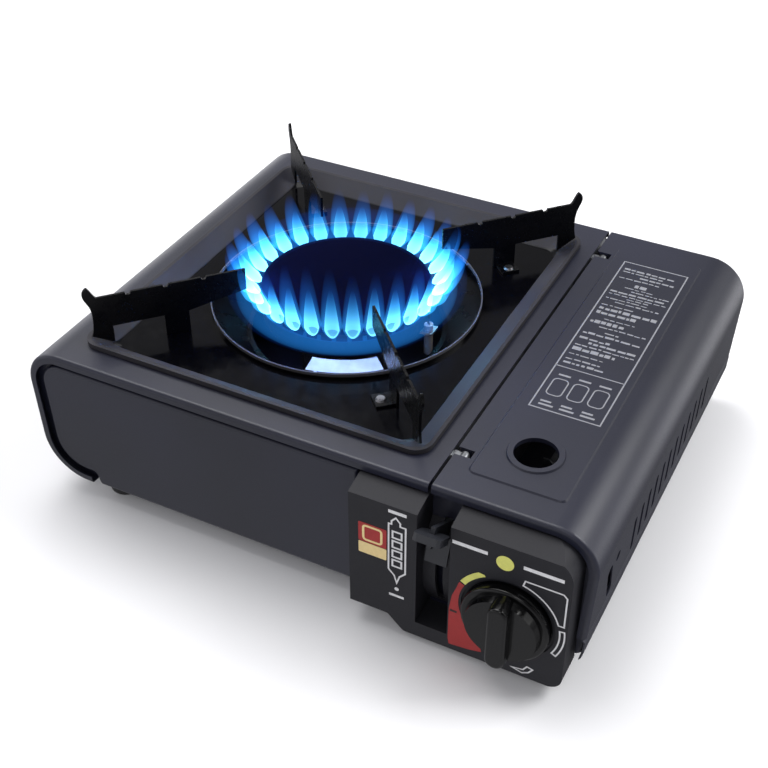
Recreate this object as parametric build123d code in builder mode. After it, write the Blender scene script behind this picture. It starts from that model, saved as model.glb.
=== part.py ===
from build123d import *
import os
from math import atan2, cos, degrees, hypot, radians, sin, sqrt, tan

# Butane cassette stove, modelled as an assembly of its separate parts.
# Millimetres, +X to the right, +Y to the back, +Z up. The origin is on the floor under the
# middle of the overall box, which the knob reaches at the front. Each part is one STEP file.

os.makedirs("parts", exist_ok=True)

# -------------------------------------------------- driving dimensions
body_width = 340.0
body_depth = 266.0
body_height = 88.0          # steel body, underside to top
foot_height = 11.0          # floor to the underside of the body
side_taper = 4.0            # each side leans in by this much at the bottom
top_corner = 22.0           # left shoulder radius
bottom_corner = 28.0        # left lower radius
lid_corner = 24.0           # right shoulder radius
sheet = 0.8                 # steel sheet of the body
touch = 0.15                # gap between pressed parts that nest
slip = 0.3                  # gap under a part that rests or slides
fit = 0.05                  # radial clearance of a turning fit
screw_slack = 0.05          # radial clearance round a screw shank

rim_width = 5.0             # turned-in lip round the ends of the shell
rim_round = 2.4
panel_setback = 5.2         # body end to the flange of an end panel
panel_crown = 3.7           # how far the pressed field of an end panel stands out
panel_margin = 8.0          # body outline to the pressed field
tail_reach = 34.0           # how far the wrap runs under the body from the left

lid_width = 89.0            # left edge of the lid to the right side of the body
lid_skirt = 20.0            # lower edge of the lid above the underside of the body
hinge_inset = 4.2
hinge_drop = 3.6
hinge_pin_radius = 1.5
hinge_end_margin = 30.0
lug_length = 5.0
lug_radius = 2.4
ear_thickness = 1.6
ear_radius = 3.0

tray_left = 28.5
tray_front = 16.0
tray_right_gap = 11.0       # right edge of the tray to the lid
tray_back_gap = 20.0
tray_rise = 3.2             # rim of the tray above the body top
tray_drop = 5.0             # underside of the tray floor below the body top
tray_slope = 12.0           # width of the sloping border
tray_corner = 10.0
tray_sheet = 0.8
tray_hole_margin = 14.75    # rim of the round hole to the sloping border
well_drop = 12.0            # floor of the pan under the tray, below the body top
opening_inset = 4.0         # tray edge to the opening in the body top

support_thickness = 1.4
support_plane = 29.0        # where a pot rests, above the body top
support_ear = 36.0
support_inner = 60.0
support_corner_gap = 6.23   # outer end of a support to the corner of the tray
support_band = 20.0

burner_radius = 50.0
burner_rise = 8.0           # top of the burner cap above the body top

control_left = -39.0        # sides of the control housing, from the left edge of the lid
control_right = 80.0
control_proud = 13.0
control_wall = 2.0
control_top_drop = 6.0
control_slope = 3.0         # height of the sloping top of the housing
control_low_left = 2.0      # lower edges of the housing above the underside of the body
control_low_right = -7.0
channel_left = -1.0         # left wall of the lever channel, from the left edge of the lid
channel_width = 18.0
channel_wall = 1.6

knob_x = 49.0               # knob centre, from the left edge of the lid
knob_height = 31.0          # knob centre above the underside of the body
knob_radius = 23.5
knob_depth = 16.0
knob_gap = 0.8
knob_turn = 150.0
shaft_radius = 3.0

can_radius = 33.5
can_x = 43.0                # axis of the cartridge, from the left edge of the lid
can_height = 38.5           # axis of the cartridge above the underside of the body

lever_setback = 43.0        # pivot behind the body front
lever_height = 35.0
lever_rest_angle = 31.0
lever_turn = 48.0
lever_reach = 76.0
lever_thickness = 2.4
drive_radius = 10.0

# -------------------------------------------------- derived places
front_reach = control_proud + knob_depth
left_x = -body_width / 2
right_x = body_width / 2
front_y = (front_reach - body_depth) / 2
back_y = front_y + body_depth
base_z = foot_height
top_z = base_z + body_height
floor_z = base_z + 2 * sheet                    # upper face of the base pan

lid_left_x = right_x - lid_width
hinge_x = lid_left_x + hinge_inset
hinge_z = top_z - hinge_drop
hinge_swing = hypot(hinge_inset, hinge_drop)    # reach of the lid's free corner
edge_x = hinge_x - hinge_swing - 0.4            # right edge of the fixed shell
skirt_z = base_z + lid_skirt

panel_front = front_y + panel_setback           # front face of the front flange
panel_back = panel_front + sheet
rear_front = back_y - panel_setback - sheet
rear_back = back_y - panel_setback

tray_width = body_width - lid_width - tray_left - tray_right_gap
tray_depth = body_depth - tray_front - tray_back_gap
tray_hole_radius = tray_width / 2 - tray_slope - tray_hole_margin
tray_x0 = left_x + tray_left
tray_x1 = tray_x0 + tray_width
tray_y0 = front_y + tray_front
tray_y1 = tray_y0 + tray_depth
burner_x = (tray_x0 + tray_x1) / 2
burner_y = (tray_y0 + tray_y1) / 2
tray_floor = top_z - tray_drop + tray_sheet     # upper face of the tray floor
support_angle = degrees(atan2(tray_depth, tray_width))
support_outer = hypot(tray_width, tray_depth) / 2 - support_corner_gap

knob_cx = lid_left_x + knob_x
knob_cz = base_z + knob_height
can_cx = lid_left_x + can_x
can_cz = base_z + can_height
lever_y = front_y + lever_setback
lever_z = base_z + lever_height
blade_x = lid_left_x + channel_left + channel_width / 2


def side_inset(z):
    """How far a side of the body leans in at height z."""
    return side_taper * (top_z - z) / body_height


def left_side(z, inset=0.0):
    return left_x + side_inset(z) + inset


def right_side(z, inset=0.0):
    return right_x - side_inset(z) - inset


def save(part, label):
    part.label = label
    export_step(part, "parts/" + label + ".step")


# -------------------------------------------------- outlines used twice
shell_mid = base_z + body_height / 3            # where the wrap is closed off before it is opened
lip_reach = 4 * rim_round                       # how far a hollow runs past the open sides


def wrap_line(inset, spare):
    """Wrap outline, left shoulder and lower corner, closed across its open side."""
    right = edge_x + spare
    tail = left_x + tail_reach + spare
    FilletPolyline(
        (right, top_z - inset),
        (left_side(top_z, inset), top_z - inset),
        (left_side(base_z, inset), base_z + inset),
        (tail, base_z + inset),
        radius=[top_corner - inset, bottom_corner - inset],
    )
    Polyline((tail, base_z + inset), (tail, shell_mid), (right, shell_mid), (right, top_z - inset))


def lid_line(inset, spare):
    """Lid outline, from its hinged edge over the right shoulder to its skirt, closed inside."""
    left = lid_left_x - spare
    low = skirt_z - spare
    FilletPolyline(
        (left, top_z - inset),
        (right_side(top_z, inset), top_z - inset),
        (right_side(low, inset), low),
        radius=lid_corner - inset,
    )
    Polyline((right_side(low, inset), low), (left, low), (left, top_z - inset))


def end_edges(part):
    """Edges of a part that lie in its front-most and rear-most faces."""
    groups = part.edges().group_by(Axis.Y)
    return groups[0] + groups[-1]


# -------------------------------------------------- top shell
opening_corner = 8.0

with BuildPart() as shell_room:
    with BuildSketch(Plane.XZ.offset(-back_y + sheet)):
        with BuildLine():
            wrap_line(sheet, lip_reach)
        make_face()
    extrude(amount=body_depth - 2 * sheet)
    lips = [e for e in end_edges(shell_room) if e.center().Z > top_z - 2]
    lips += [e for e in end_edges(shell_room) if e.center().X < left_x + tail_reach + lip_reach - 1]
    fillet(list(dict.fromkeys(lips)), radius=rim_round - sheet)

with BuildPart() as top_shell:
    with BuildSketch(Plane.XZ.offset(-back_y)):
        with BuildLine():
            wrap_line(0, 0)
        make_face()
    extrude(amount=body_depth)
    lips = [e for e in end_edges(top_shell) if e.center().Z > top_z - 1]
    lips += [e for e in end_edges(top_shell) if e.center().X < left_x + tail_reach - 1]
    fillet(list(dict.fromkeys(lips)), radius=rim_round)
    add(shell_room.part, mode=Mode.SUBTRACT)
    with BuildSketch(Plane.XZ.offset(-back_y - 1)):
        with BuildLine():
            wrap_line(rim_width, lip_reach)
        make_face()
    extrude(amount=body_depth + 2, mode=Mode.SUBTRACT)
    with BuildSketch(Plane.XY.offset(top_z - 2 * sheet)):
        with Locations((burner_x, burner_y)):
            RectangleRounded(tray_width - 2 * opening_inset, tray_depth - 2 * opening_inset, opening_corner)
    extrude(amount=4 * sheet, mode=Mode.SUBTRACT)
save(top_shell.part, "top_shell")

# -------------------------------------------------- cartridge lid
boss_left = 11.0            # raised label field on the lid, from its left edge
boss_width = 52.0
boss_front = 17.0
boss_length = 232.0
boss_rise = 0.8
boss_corner = 4.0
peep_x = 37.0               # round vent in the lid, from its left edge
peep_y = 44.0
peep_radius = 11.5
peep_collar = 15.5
peep_rise = 1.8
vent_count = 12
vent_first = 66.0
vent_pitch = 12.0
vent_width = 4.2
vent_low = 24.0             # ends of the side vents above the underside of the body
vent_high = 50.0
vent_lean = 8.0
grip_y = 28.0               # finger slot at the front of the lid side
grip_length = 26.0
grip_width = 7.0
grip_lean = 16.0
pin_hole_y = 37.0
pin_hole_radius = 3.0
hinge_y = [front_y + hinge_end_margin, back_y - hinge_end_margin]
lug_slack = 0.5
boss_x = lid_left_x + boss_left + boss_width / 2
boss_y = front_y + boss_front + boss_length / 2
vent_mid = base_z + (vent_low + vent_high) / 2

with BuildPart() as lid_room:
    with BuildSketch(Plane.XZ.offset(-back_y + sheet)):
        with BuildLine():
            lid_line(sheet, lip_reach)
        make_face()
    extrude(amount=body_depth - 2 * sheet)
    lips = [e for e in end_edges(lid_room) if e.center().Z > top_z - 2]
    lips += [e for e in end_edges(lid_room) if e.center().X > right_x - lid_corner]
    fillet(list(dict.fromkeys(lips)), radius=rim_round - sheet)

with BuildPart() as lid:
    with BuildSketch(Plane.XZ.offset(-back_y)):
        with BuildLine():
            lid_line(0, 0)
        make_face()
    extrude(amount=body_depth)
    lips = [e for e in end_edges(lid) if e.center().Z > top_z - 1]
    lips += [e for e in end_edges(lid) if e.center().X > right_x - lid_corner]
    fillet(list(dict.fromkeys(lips)), radius=rim_round)
    with BuildSketch(Plane.XY.offset(top_z)):
        with Locations((boss_x, boss_y)):
            RectangleRounded(boss_width, boss_length, boss_corner)
    extrude(amount=boss_rise, taper=45)
    with BuildSketch(Plane.XY.offset(top_z)):
        with Locations((lid_left_x + peep_x, front_y + peep_y)):
            Circle(peep_collar)
    extrude(amount=peep_rise, taper=30)
    add(lid_room.part, mode=Mode.SUBTRACT)
    with BuildSketch(Plane.XZ.offset(-back_y - 1)):
        with BuildLine():
            lid_line(rim_width, lip_reach)
        make_face()
    extrude(amount=body_depth + 2, mode=Mode.SUBTRACT)
    with BuildSketch(Plane.XY.offset(top_z - 2 * sheet)):
        with Locations((boss_x, boss_y)):
            RectangleRounded(boss_width - 4 * sheet, boss_length - 4 * sheet, boss_corner - sheet)
    extrude(amount=sheet + boss_rise, mode=Mode.SUBTRACT)
    with BuildSketch(Plane.XY.offset(top_z - sheet)):
        with Locations((lid_left_x + peep_x, front_y + peep_y)):
            Circle(peep_radius + sheet)
    extrude(amount=sheet + peep_rise)
    with BuildSketch(Plane.XY.offset(top_z - 2 * sheet)):
        with Locations((lid_left_x + peep_x, front_y + peep_y)):
            Circle(peep_radius)
    extrude(amount=peep_rise + 4 * sheet, mode=Mode.SUBTRACT)
    with BuildSketch(Plane.YZ.offset(right_x - 2 * side_taper)):
        for i in range(vent_count):
            with Locations((front_y + vent_first + i * vent_pitch, vent_mid)):
                SlotOverall(vent_high - vent_low, vent_width, rotation=90 + vent_lean)
        with Locations((front_y + pin_hole_y, base_z + vent_high - pin_hole_radius)):
            Circle(pin_hole_radius)
        with Locations((front_y + grip_y, vent_mid)):
            SlotOverall(grip_length, grip_width, rotation=90 + grip_lean)
    extrude(amount=3 * side_taper, mode=Mode.SUBTRACT)
    with BuildSketch(Plane.XY.offset(hinge_z)):
        for y in hinge_y:
            with Locations((hinge_x, y)):
                Rectangle(2 * (hinge_inset + lug_slack), lug_length + 2 * lug_slack)
    extrude(amount=hinge_drop + sheet, mode=Mode.SUBTRACT)
    for y in hinge_y:
        for side in (-1, 1):
            near = y + side * (lug_length / 2 + slip)
            ear_y = near if side < 0 else near + ear_thickness
            with BuildSketch(Plane.XZ.offset(-ear_y)):
                with Locations((hinge_x, hinge_z)):
                    Circle(ear_radius)
                with Locations((hinge_x, (hinge_z + top_z - sheet) / 2)):
                    Rectangle(2 * ear_radius, top_z - sheet - hinge_z)
                with Locations((hinge_x, hinge_z)):
                    Circle(hinge_pin_radius + fit, mode=Mode.SUBTRACT)
            extrude(amount=ear_thickness)
save(lid.part, "cartridge_lid")

with BuildPart() as lid_hinge_pins:
    pin_half = lug_length / 2 + slip + ear_thickness + slip
    for y in hinge_y:
        with BuildSketch(Plane.XZ.offset(-y - pin_half)):
            with Locations((hinge_x, hinge_z)):
                Circle(hinge_pin_radius)
        extrude(amount=2 * pin_half)
save(lid_hinge_pins.part, "lid_hinge_pins")

# -------------------------------------------------- base pan
pan_corner = 10.0
flange_height = 9.0
joggle = sheet + 0.5        # step that lets the lid skirt lie flush outside the pan
joggle_z = skirt_z - joggle - slip
pan_top = skirt_z + 8.0
pan_left = left_x + side_taper + bottom_corner + 2 * touch
pan_under = base_z + sheet
foot_inset_x = 45.0
foot_inset_y = 17.0
foot_radius = 10.0
foot_spots = [
    (left_x + foot_inset_x, front_y + foot_inset_y),
    (left_x + foot_inset_x, back_y - foot_inset_y),
    (right_x - foot_inset_x, front_y + foot_inset_y),
    (right_x - foot_inset_x, back_y - foot_inset_y),
]
screw_radius = 1.9
case_screw_z = floor_z + flange_height / 2 - sheet / 2
case_screw_margin = 30.0    # end screws, in from the pan's left edge and the body's right side
case_screw_count = 4
lip_x = right_side(skirt_z) - 3 * sheet
case_screw_first = pan_left + case_screw_margin
case_screw_pitch = (right_x - case_screw_margin - case_screw_first) / (case_screw_count - 1)
case_spots = [(case_screw_first + i * case_screw_pitch, case_screw_z) for i in range(case_screw_count)]

with BuildPart() as base_pan:
    with BuildSketch(Plane.XZ.offset(-back_y)):
        with BuildLine():
            FilletPolyline(
                (pan_left, pan_under),
                (right_side(pan_under), pan_under),
                (right_side(joggle_z), joggle_z),
                (right_side(joggle_z, joggle), joggle_z + joggle),
                (right_side(pan_top, joggle), pan_top),
                radius=[pan_corner, 0.4, 0.4],
            )
            offset(amount=sheet, side=Side.LEFT)
        make_face()
    extrude(amount=body_depth)
    for y0, y1 in ((front_y - 1, panel_back), (rear_front, back_y + 1)):
        with Locations(((pan_left + lip_x) / 2 - 5, (y0 + y1) / 2, pan_under)):
            Box(lip_x - pan_left + 10, y1 - y0, 40, mode=Mode.SUBTRACT)
    for y in (front_y, back_y):
        with Locations((lip_x, y, joggle_z + 1.5)):
            Box(40, 4 * sheet, 40, align=(Align.CENTER, Align.CENTER, Align.MIN), mode=Mode.SUBTRACT)
    flange_right = right_side(pan_under) - pan_corner
    for y in (panel_back, rear_front - sheet):
        with Locations(((pan_left + flange_right) / 2, y + sheet / 2, floor_z - sheet / 2)):
            Box(flange_right - pan_left, sheet, flange_height, align=(Align.CENTER, Align.CENTER, Align.MIN))
    with BuildSketch(Plane.XY.offset(base_z)):
        with Locations(*foot_spots):
            Circle(screw_radius + screw_slack)
    extrude(amount=3 * sheet, mode=Mode.SUBTRACT)
    with BuildSketch(Plane.XZ.offset(-rear_front)):
        with Locations(*case_spots):
            Circle(screw_radius + screw_slack)
    extrude(amount=2 * sheet, mode=Mode.SUBTRACT)
save(base_pan.part, "base_pan")

# -------------------------------------------------- end panels
panel_low = floor_z                             # the flanges stand on the base pan
panel_side = joggle + sheet + touch             # right edge, inside the flange of the base pan
panel_lid_gap = 1.2
crown_round = 2.0
crown_corner = 14.0
crown_low_corner = bottom_corner - panel_margin
step_x = left_x + tail_reach + 2.0              # where the field drops past the end of the wrap
step_slant = 2.5
step_round = 2.5
front_crown_right = lid_left_x + control_left - 2.5
rear_crown_low = 26.0
panel_hole_slack = 1.0
blade_slot_low = lever_z - 20.0
blade_slot_high = lever_z + 31.0
blade_slack = 0.9
housing_inset = 6.5         # screws of the control housing, in from its sides
housing_screw_low = 22.0    # and above the underside of the body
housing_screw_high = 62.0
housing_spots = [
    (x, base_z + z)
    for x in (lid_left_x + control_left + housing_inset, lid_left_x + control_right - housing_inset)
    for z in (housing_screw_low, housing_screw_high)
]


def panel_line():
    """Flange outline of an end panel, inside the wrap, the pan and the lid."""
    inset = sheet + touch
    FilletPolyline(
        (edge_x, top_z - inset),
        (left_side(top_z, inset), top_z - inset),
        (left_side(panel_low, inset), panel_low),
        (right_side(panel_low, panel_side), panel_low),
        (right_side(top_z, panel_side), top_z - inset - panel_lid_gap),
        (edge_x, top_z - inset - panel_lid_gap),
        radius=[top_corner - inset, bottom_corner - sheet - inset,
                pan_corner - panel_side, lid_corner - sheet],
    )
    Line((edge_x, top_z - inset - panel_lid_gap), (edge_x, top_z - inset))


def hinge_notch():
    """Room beside the fixed shell for the swing of the lid's free edge."""
    reach = hinge_x - edge_x
    with Locations((hinge_x, hinge_z)):
        Circle(reach, mode=Mode.SUBTRACT)
        Rectangle(2 * reach, 2 * hinge_drop, align=(Align.CENTER, Align.MIN), mode=Mode.SUBTRACT)


def front_crown_line(inset):
    """Outline of the pressed field at the front, which runs down past the end of the wrap."""
    right = front_crown_right - inset
    high = top_z - panel_margin - inset
    low = base_z + panel_margin + inset
    FilletPolyline(
        (right, high),
        (left_side(high, panel_margin + inset), high),
        (left_side(low, panel_margin + inset), low),
        (step_x + inset, low),
        (step_x + step_slant + inset, base_z + inset),
        (right, base_z + inset),
        radius=[crown_corner - inset, crown_low_corner - inset, step_round, step_round],
    )
    Line((right, base_z + inset), (right, high))


def rear_crown_line(inset):
    """Outline of the pressed field at the back, above its row of screws."""
    right = edge_x - panel_margin - inset
    high = top_z - panel_margin - inset
    low = rear_crown_low + inset
    FilletPolyline(
        (right, high),
        (left_side(high, panel_margin + inset), high),
        (left_side(low, panel_margin + inset), low),
        (right, low),
        radius=crown_corner - inset,
    )
    Line((right, low), (right, high))


with BuildPart() as front_panel:
    with BuildSketch(Plane.XZ.offset(-panel_back)):
        with BuildLine():
            panel_line()
        make_face()
        hinge_notch()
    extrude(amount=sheet)
    with BuildSketch(Plane.XZ.offset(-panel_front)):
        with BuildLine():
            front_crown_line(0)
        make_face()
    extrude(amount=panel_crown)
    fillet(front_panel.faces().sort_by(Axis.Y)[0].edges(), radius=crown_round)
    with BuildSketch(Plane.XZ.offset(-panel_back)):
        with BuildLine():
            front_crown_line(sheet)
        make_face()
    extrude(amount=panel_crown, mode=Mode.SUBTRACT)
    with BuildSketch(Plane.XZ.offset(-panel_back - 1)):
        with Locations((knob_cx, knob_cz)):
            Circle(shaft_radius + panel_hole_slack)
        with Locations((blade_x, (blade_slot_low + blade_slot_high) / 2)):
            Rectangle(lever_thickness + 2 * blade_slack, blade_slot_high - blade_slot_low)
        with Locations(*housing_spots):
            Circle(screw_radius + screw_slack)
    extrude(amount=panel_setback, mode=Mode.SUBTRACT)
save(front_panel.part, "front_panel")

air_slots = 9
air_pitch = 16.0
air_length = 9.0
air_width = 3.0

with BuildPart() as rear_panel:
    with BuildSketch(Plane.XZ.offset(-rear_back)):
        with BuildLine():
            panel_line()
        make_face()
        hinge_notch()
    extrude(amount=sheet)
    with BuildSketch(Plane.XZ.offset(-rear_back - panel_crown)):
        with BuildLine():
            rear_crown_line(0)
        make_face()
    extrude(amount=panel_crown)
    fillet(rear_panel.faces().sort_by(Axis.Y)[-1].edges(), radius=crown_round)
    with BuildSketch(Plane.XZ.offset(-rear_back - panel_crown + sheet)):
        with BuildLine():
            rear_crown_line(sheet)
        make_face()
    extrude(amount=panel_crown, mode=Mode.SUBTRACT)
    with BuildSketch(Plane.XZ.offset(-back_y)):
        with Locations((left_x + (edge_x - left_x) / 2, base_z + body_height / 2)):
            with GridLocations(air_pitch, 2 * air_length, air_slots, 2):
                SlotOverall(air_length, air_width, rotation=90)
    extrude(amount=2 * panel_setback, mode=Mode.SUBTRACT)
    with BuildSketch(Plane.XZ.offset(-back_y)):
        with Locations(*case_spots):
            Circle(screw_radius + screw_slack)
    extrude(amount=2 * panel_setback, mode=Mode.SUBTRACT)
save(rear_panel.part, "rear_panel")

# -------------------------------------------------- partition between burner and cartridge
partition_flange = 6.0
wall_front = panel_back + sheet + touch         # between the upturned flanges of the base pan
wall_back = rear_front - sheet - touch
reg_high = 59.0             # top of the regulator above the underside of the body
cover_rise = 6.0
wire_over = 4.0             # igniter wire above the regulator's cover
pipe_y = front_y + 25.0
pipe_z = base_z + 16.0
pipe_radius = 3.0
wire_y = front_y + 32.0
wire_z = base_z + reg_high + cover_rise + wire_over
wire_radius = 1.2
grommet_radius = 3.4
heat_y = front_y + 102.0
heat_width = 20.0
heat_sheet = 1.5
heat_z = floor_z + 1.8
lever_pin_radius = 2.5

with BuildPart() as partition_wall:
    with BuildSketch(Plane.XZ.offset(-wall_back)):
        with BuildLine():
            Polyline(
                (edge_x - partition_flange, floor_z),
                (edge_x, floor_z),
                (edge_x, top_z - sheet),
                (edge_x - partition_flange, top_z - sheet),
            )
            offset(amount=sheet, side=Side.LEFT)
        make_face()
    extrude(amount=wall_back - wall_front)
    for y in hinge_y:
        with BuildSketch(Plane.XZ.offset(-y - lug_length / 2)):
            with Locations((hinge_x, hinge_z)):
                Circle(lug_radius)
            with Locations(((edge_x + hinge_x) / 2, hinge_z - lug_radius / 4)):
                Rectangle(hinge_x - edge_x, 1.5 * lug_radius)
            with Locations((hinge_x, hinge_z)):
                Circle(hinge_pin_radius, mode=Mode.SUBTRACT)
        extrude(amount=lug_length)
    with BuildSketch(Plane.YZ.offset(edge_x - 2 * sheet)):
        with Locations((pipe_y, pipe_z)):
            Circle(pipe_radius + 1)
        with Locations((wire_y, wire_z)):
            Circle(grommet_radius)
        with Locations((heat_y, heat_z + heat_sheet / 2)):
            Rectangle(heat_width + 2, heat_sheet + 1.4)
        with Locations((lever_y, lever_z)):
            Circle(lever_pin_radius)
    extrude(amount=3 * sheet, mode=Mode.SUBTRACT)
save(partition_wall.part, "partition_wall")

# -------------------------------------------------- feet and their screws
foot_taper = 3.0
foot_round = 2.5
recess_radius = 4.5
recess_depth = 6.0
screw_head_radius = 3.6
screw_head = 2.2

with BuildPart() as rubber_feet:
    with BuildSketch(Plane.XY.offset(pan_under)):
        with Locations(*foot_spots):
            Circle(foot_radius)
    extrude(amount=-pan_under, taper=foot_taper)
    fillet(rubber_feet.faces().group_by(Axis.Z)[0].edges(), radius=foot_round)
    with BuildSketch():
        with Locations(*foot_spots):
            Circle(recess_radius)
    extrude(amount=recess_depth, mode=Mode.SUBTRACT)
    with BuildSketch():
        with Locations(*foot_spots):
            Circle(screw_radius + screw_slack)
    extrude(amount=pan_under, mode=Mode.SUBTRACT)
save(rubber_feet.part, "rubber_feet")

with BuildPart() as foot_screws:
    with BuildSketch(Plane.XY.offset(recess_depth - screw_head)):
        with Locations(*foot_spots):
            Circle(screw_head_radius)
    extrude(amount=screw_head)
    with BuildSketch(Plane.XY.offset(recess_depth)):
        with Locations(*foot_spots):
            Circle(screw_radius)
    extrude(amount=pan_under - recess_depth + 3 * sheet)
    chamfer(foot_screws.faces().group_by(Axis.Z)[0].edges(), length=0.6)
save(foot_screws.part, "foot_screws")

with BuildPart() as case_screws:
    with BuildSketch(Plane.XZ.offset(-rear_back - screw_head)):
        with Locations(*case_spots):
            Circle(screw_head_radius)
    extrude(amount=screw_head)
    fillet(case_screws.faces().group_by(Axis.Y)[-1].edges(), radius=1.0)
    with BuildSketch(Plane.XZ.offset(-rear_back)):
        with Locations(*case_spots):
            Circle(screw_radius)
    extrude(amount=4 * sheet)
save(case_screws.part, "case_screws")

# -------------------------------------------------- pan under the drip tray
well_reach = 5.0            # how far the pan reaches under the body top, past the opening
dish_outer = tray_hole_radius + 5.0
dish_inner = burner_radius + 7.0
dish_fall = 12.0
well_z = top_z - well_drop                      # upper face of the pan floor
pan_width = tray_width - 2 * opening_inset + 2 * well_reach
pan_depth = tray_depth - 2 * opening_inset + 2 * well_reach
well_corner = opening_corner + well_reach / 2
heat_stem_x = burner_x + 16.0
heat_stem_out = 13.0        # middle of the strip's stem, outside the burner
heat_stem_y = burner_y - burner_radius - heat_stem_out
heat_stem_width = 14.0

with BuildPart() as burner_well:
    with BuildSketch(Plane.XY.offset(well_z - sheet)):
        with Locations((burner_x, burner_y)):
            RectangleRounded(pan_width, pan_depth, well_corner)
    extrude(amount=top_z - sheet - well_z + sheet)
    with BuildSketch(Plane.XY.offset(well_z)):
        with Locations((burner_x, burner_y)):
            RectangleRounded(pan_width - 2 * sheet, pan_depth - 2 * sheet, well_corner - sheet)
    extrude(amount=well_drop, mode=Mode.SUBTRACT)
    with Locations((burner_x, burner_y, well_z)):
        Cylinder(dish_outer, 3 * sheet, mode=Mode.SUBTRACT)
    with BuildSketch(Plane.XZ.offset(-burner_y)):
        with BuildLine():
            Polyline(
                (burner_x + dish_outer + sheet, well_z),
                (burner_x + dish_outer, well_z),
                (burner_x + dish_inner + 3, well_z - dish_fall),
                (burner_x + dish_inner, well_z - dish_fall),
                (burner_x + dish_inner, well_z - dish_fall - sheet),
                (burner_x + dish_inner + 3, well_z - dish_fall - sheet),
                (burner_x + dish_outer, well_z - sheet),
                (burner_x + dish_outer + sheet, well_z - sheet),
                close=True,
            )
        make_face()
    revolve(axis=Axis((burner_x, burner_y, 0), (0, 0, 1)))
    with Locations((heat_stem_x + heat_sheet / 2, heat_stem_y, well_z - dish_fall)):
        Box(heat_sheet + 1.2, heat_stem_width + 1.2, 2 * dish_fall, mode=Mode.SUBTRACT)
save(burner_well.part, "burner_well")

# -------------------------------------------------- drip tray
tray_rim_z = top_z + tray_rise
tray_under = top_z - tray_drop
tray_lip = 3.2
tray_foot = top_z + slip

with BuildPart() as drip_tray:
    with BuildSketch(Plane.XY.offset(tray_rim_z)):
        with Locations((burner_x, burner_y)):
            RectangleRounded(tray_width, tray_depth, tray_corner)
    with BuildSketch(Plane.XY.offset(tray_under)):
        with Locations((burner_x, burner_y)):
            RectangleRounded(tray_width - 2 * tray_slope, tray_depth - 2 * tray_slope, tray_corner)
    loft()
    with BuildSketch(Plane.XY.offset(tray_foot)):
        with Locations((burner_x, burner_y)):
            RectangleRounded(tray_width, tray_depth, tray_corner)
            RectangleRounded(tray_width - 2 * tray_sheet, tray_depth - 2 * tray_sheet,
                             tray_corner - tray_sheet, mode=Mode.SUBTRACT)
    extrude(amount=tray_rim_z - tray_foot)
    with BuildSketch(Plane.XY.offset(tray_rim_z + tray_sheet)):
        with Locations((burner_x, burner_y)):
            RectangleRounded(tray_width - 2 * tray_sheet, tray_depth - 2 * tray_sheet,
                             tray_corner - tray_sheet)
    with BuildSketch(Plane.XY.offset(tray_floor)):
        with Locations((burner_x, burner_y)):
            RectangleRounded(tray_width - 2 * tray_slope - 2 * tray_sheet,
                             tray_depth - 2 * tray_slope - 2 * tray_sheet, tray_corner - tray_sheet)
    loft(mode=Mode.SUBTRACT)
    with BuildSketch(Plane.XY.offset(tray_under)):
        with Locations((burner_x, burner_y)):
            Circle(tray_hole_radius + tray_sheet)
    extrude(amount=tray_sheet + tray_lip)
    with BuildSketch(Plane.XY.offset(tray_under)):
        with Locations((burner_x, burner_y)):
            Circle(tray_hole_radius)
    extrude(amount=2 * tray_lip, mode=Mode.SUBTRACT)
save(drip_tray.part, "drip_tray")

# -------------------------------------------------- pot supports, one on each diagonal of the tray
support_nose = 2.0          # clearance step of the outer leg over the sloping border
outer_leg = 13.0
leg_gap = 15.0              # rim of the tray's hole to the inner leg
leg_width = 14.0
inner_leg = tray_hole_radius + leg_gap
window_outer = inner_leg + leg_width
notch_radius = 1.6
notches = [84.0, 105.5, 126.5]
tab_length = 11.0
tab_width = 12.0
rivet_radius = 1.5
rivet_head = 3.0
support_names = ["right", "back", "left", "front"]
support_turns = [support_angle, 180 - support_angle, 180 + support_angle, -support_angle]
tab_z = tray_floor + touch
band_low = top_z + support_plane - support_band
pot_z = top_z + support_plane
ear_z = top_z + support_ear

for name, turn in zip(support_names, support_turns):
    fin = Plane(origin=(burner_x, burner_y, 0), x_dir=(cos(radians(turn)), sin(radians(turn)), 0),
                z_dir=(sin(radians(turn)), -cos(radians(turn)), 0))
    with BuildPart() as pan_support:
        with BuildSketch(fin.offset(-support_thickness / 2)):
            with BuildLine():
                Polyline(
                    (support_outer - 1, tray_rim_z + 1.4),
                    (support_outer - outer_leg, tab_z + support_nose),
                    (support_outer - outer_leg, band_low),
                    (window_outer, band_low),
                    (window_outer, tab_z),
                    (inner_leg, tab_z),
                    (inner_leg, band_low),
                    (support_inner, band_low + support_band / 3),
                    (support_inner, pot_z),
                    (support_outer - 7, pot_z),
                )
                Spline((support_outer - 7, pot_z), (support_outer - 3.5, ear_z - 2.5),
                       (support_outer - 1.4, ear_z), (support_outer + 0.8, ear_z - 2.4),
                       (support_outer - 1.2, pot_z - 4), (support_outer - 2.6, top_z + 14),
                       (support_outer - 1, tray_rim_z + 1.4))
            make_face()
            with Locations(*[(r, pot_z) for r in notches]):
                Circle(notch_radius, mode=Mode.SUBTRACT)
        extrude(amount=support_thickness)
        flat = Plane(origin=(burner_x, burner_y, tab_z), x_dir=fin.x_dir, z_dir=(0, 0, 1))
        with BuildSketch(flat):
            with Locations(((window_outer + inner_leg) / 2, support_thickness / 2 - tab_width / 2)):
                Rectangle(tab_length, tab_width)
            with Locations(((window_outer + inner_leg) / 2, -tab_width / 2 - support_thickness)):
                Circle(rivet_radius, mode=Mode.SUBTRACT)
        extrude(amount=support_thickness)
    save(pan_support.part, "pan_support_" + name)

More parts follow.
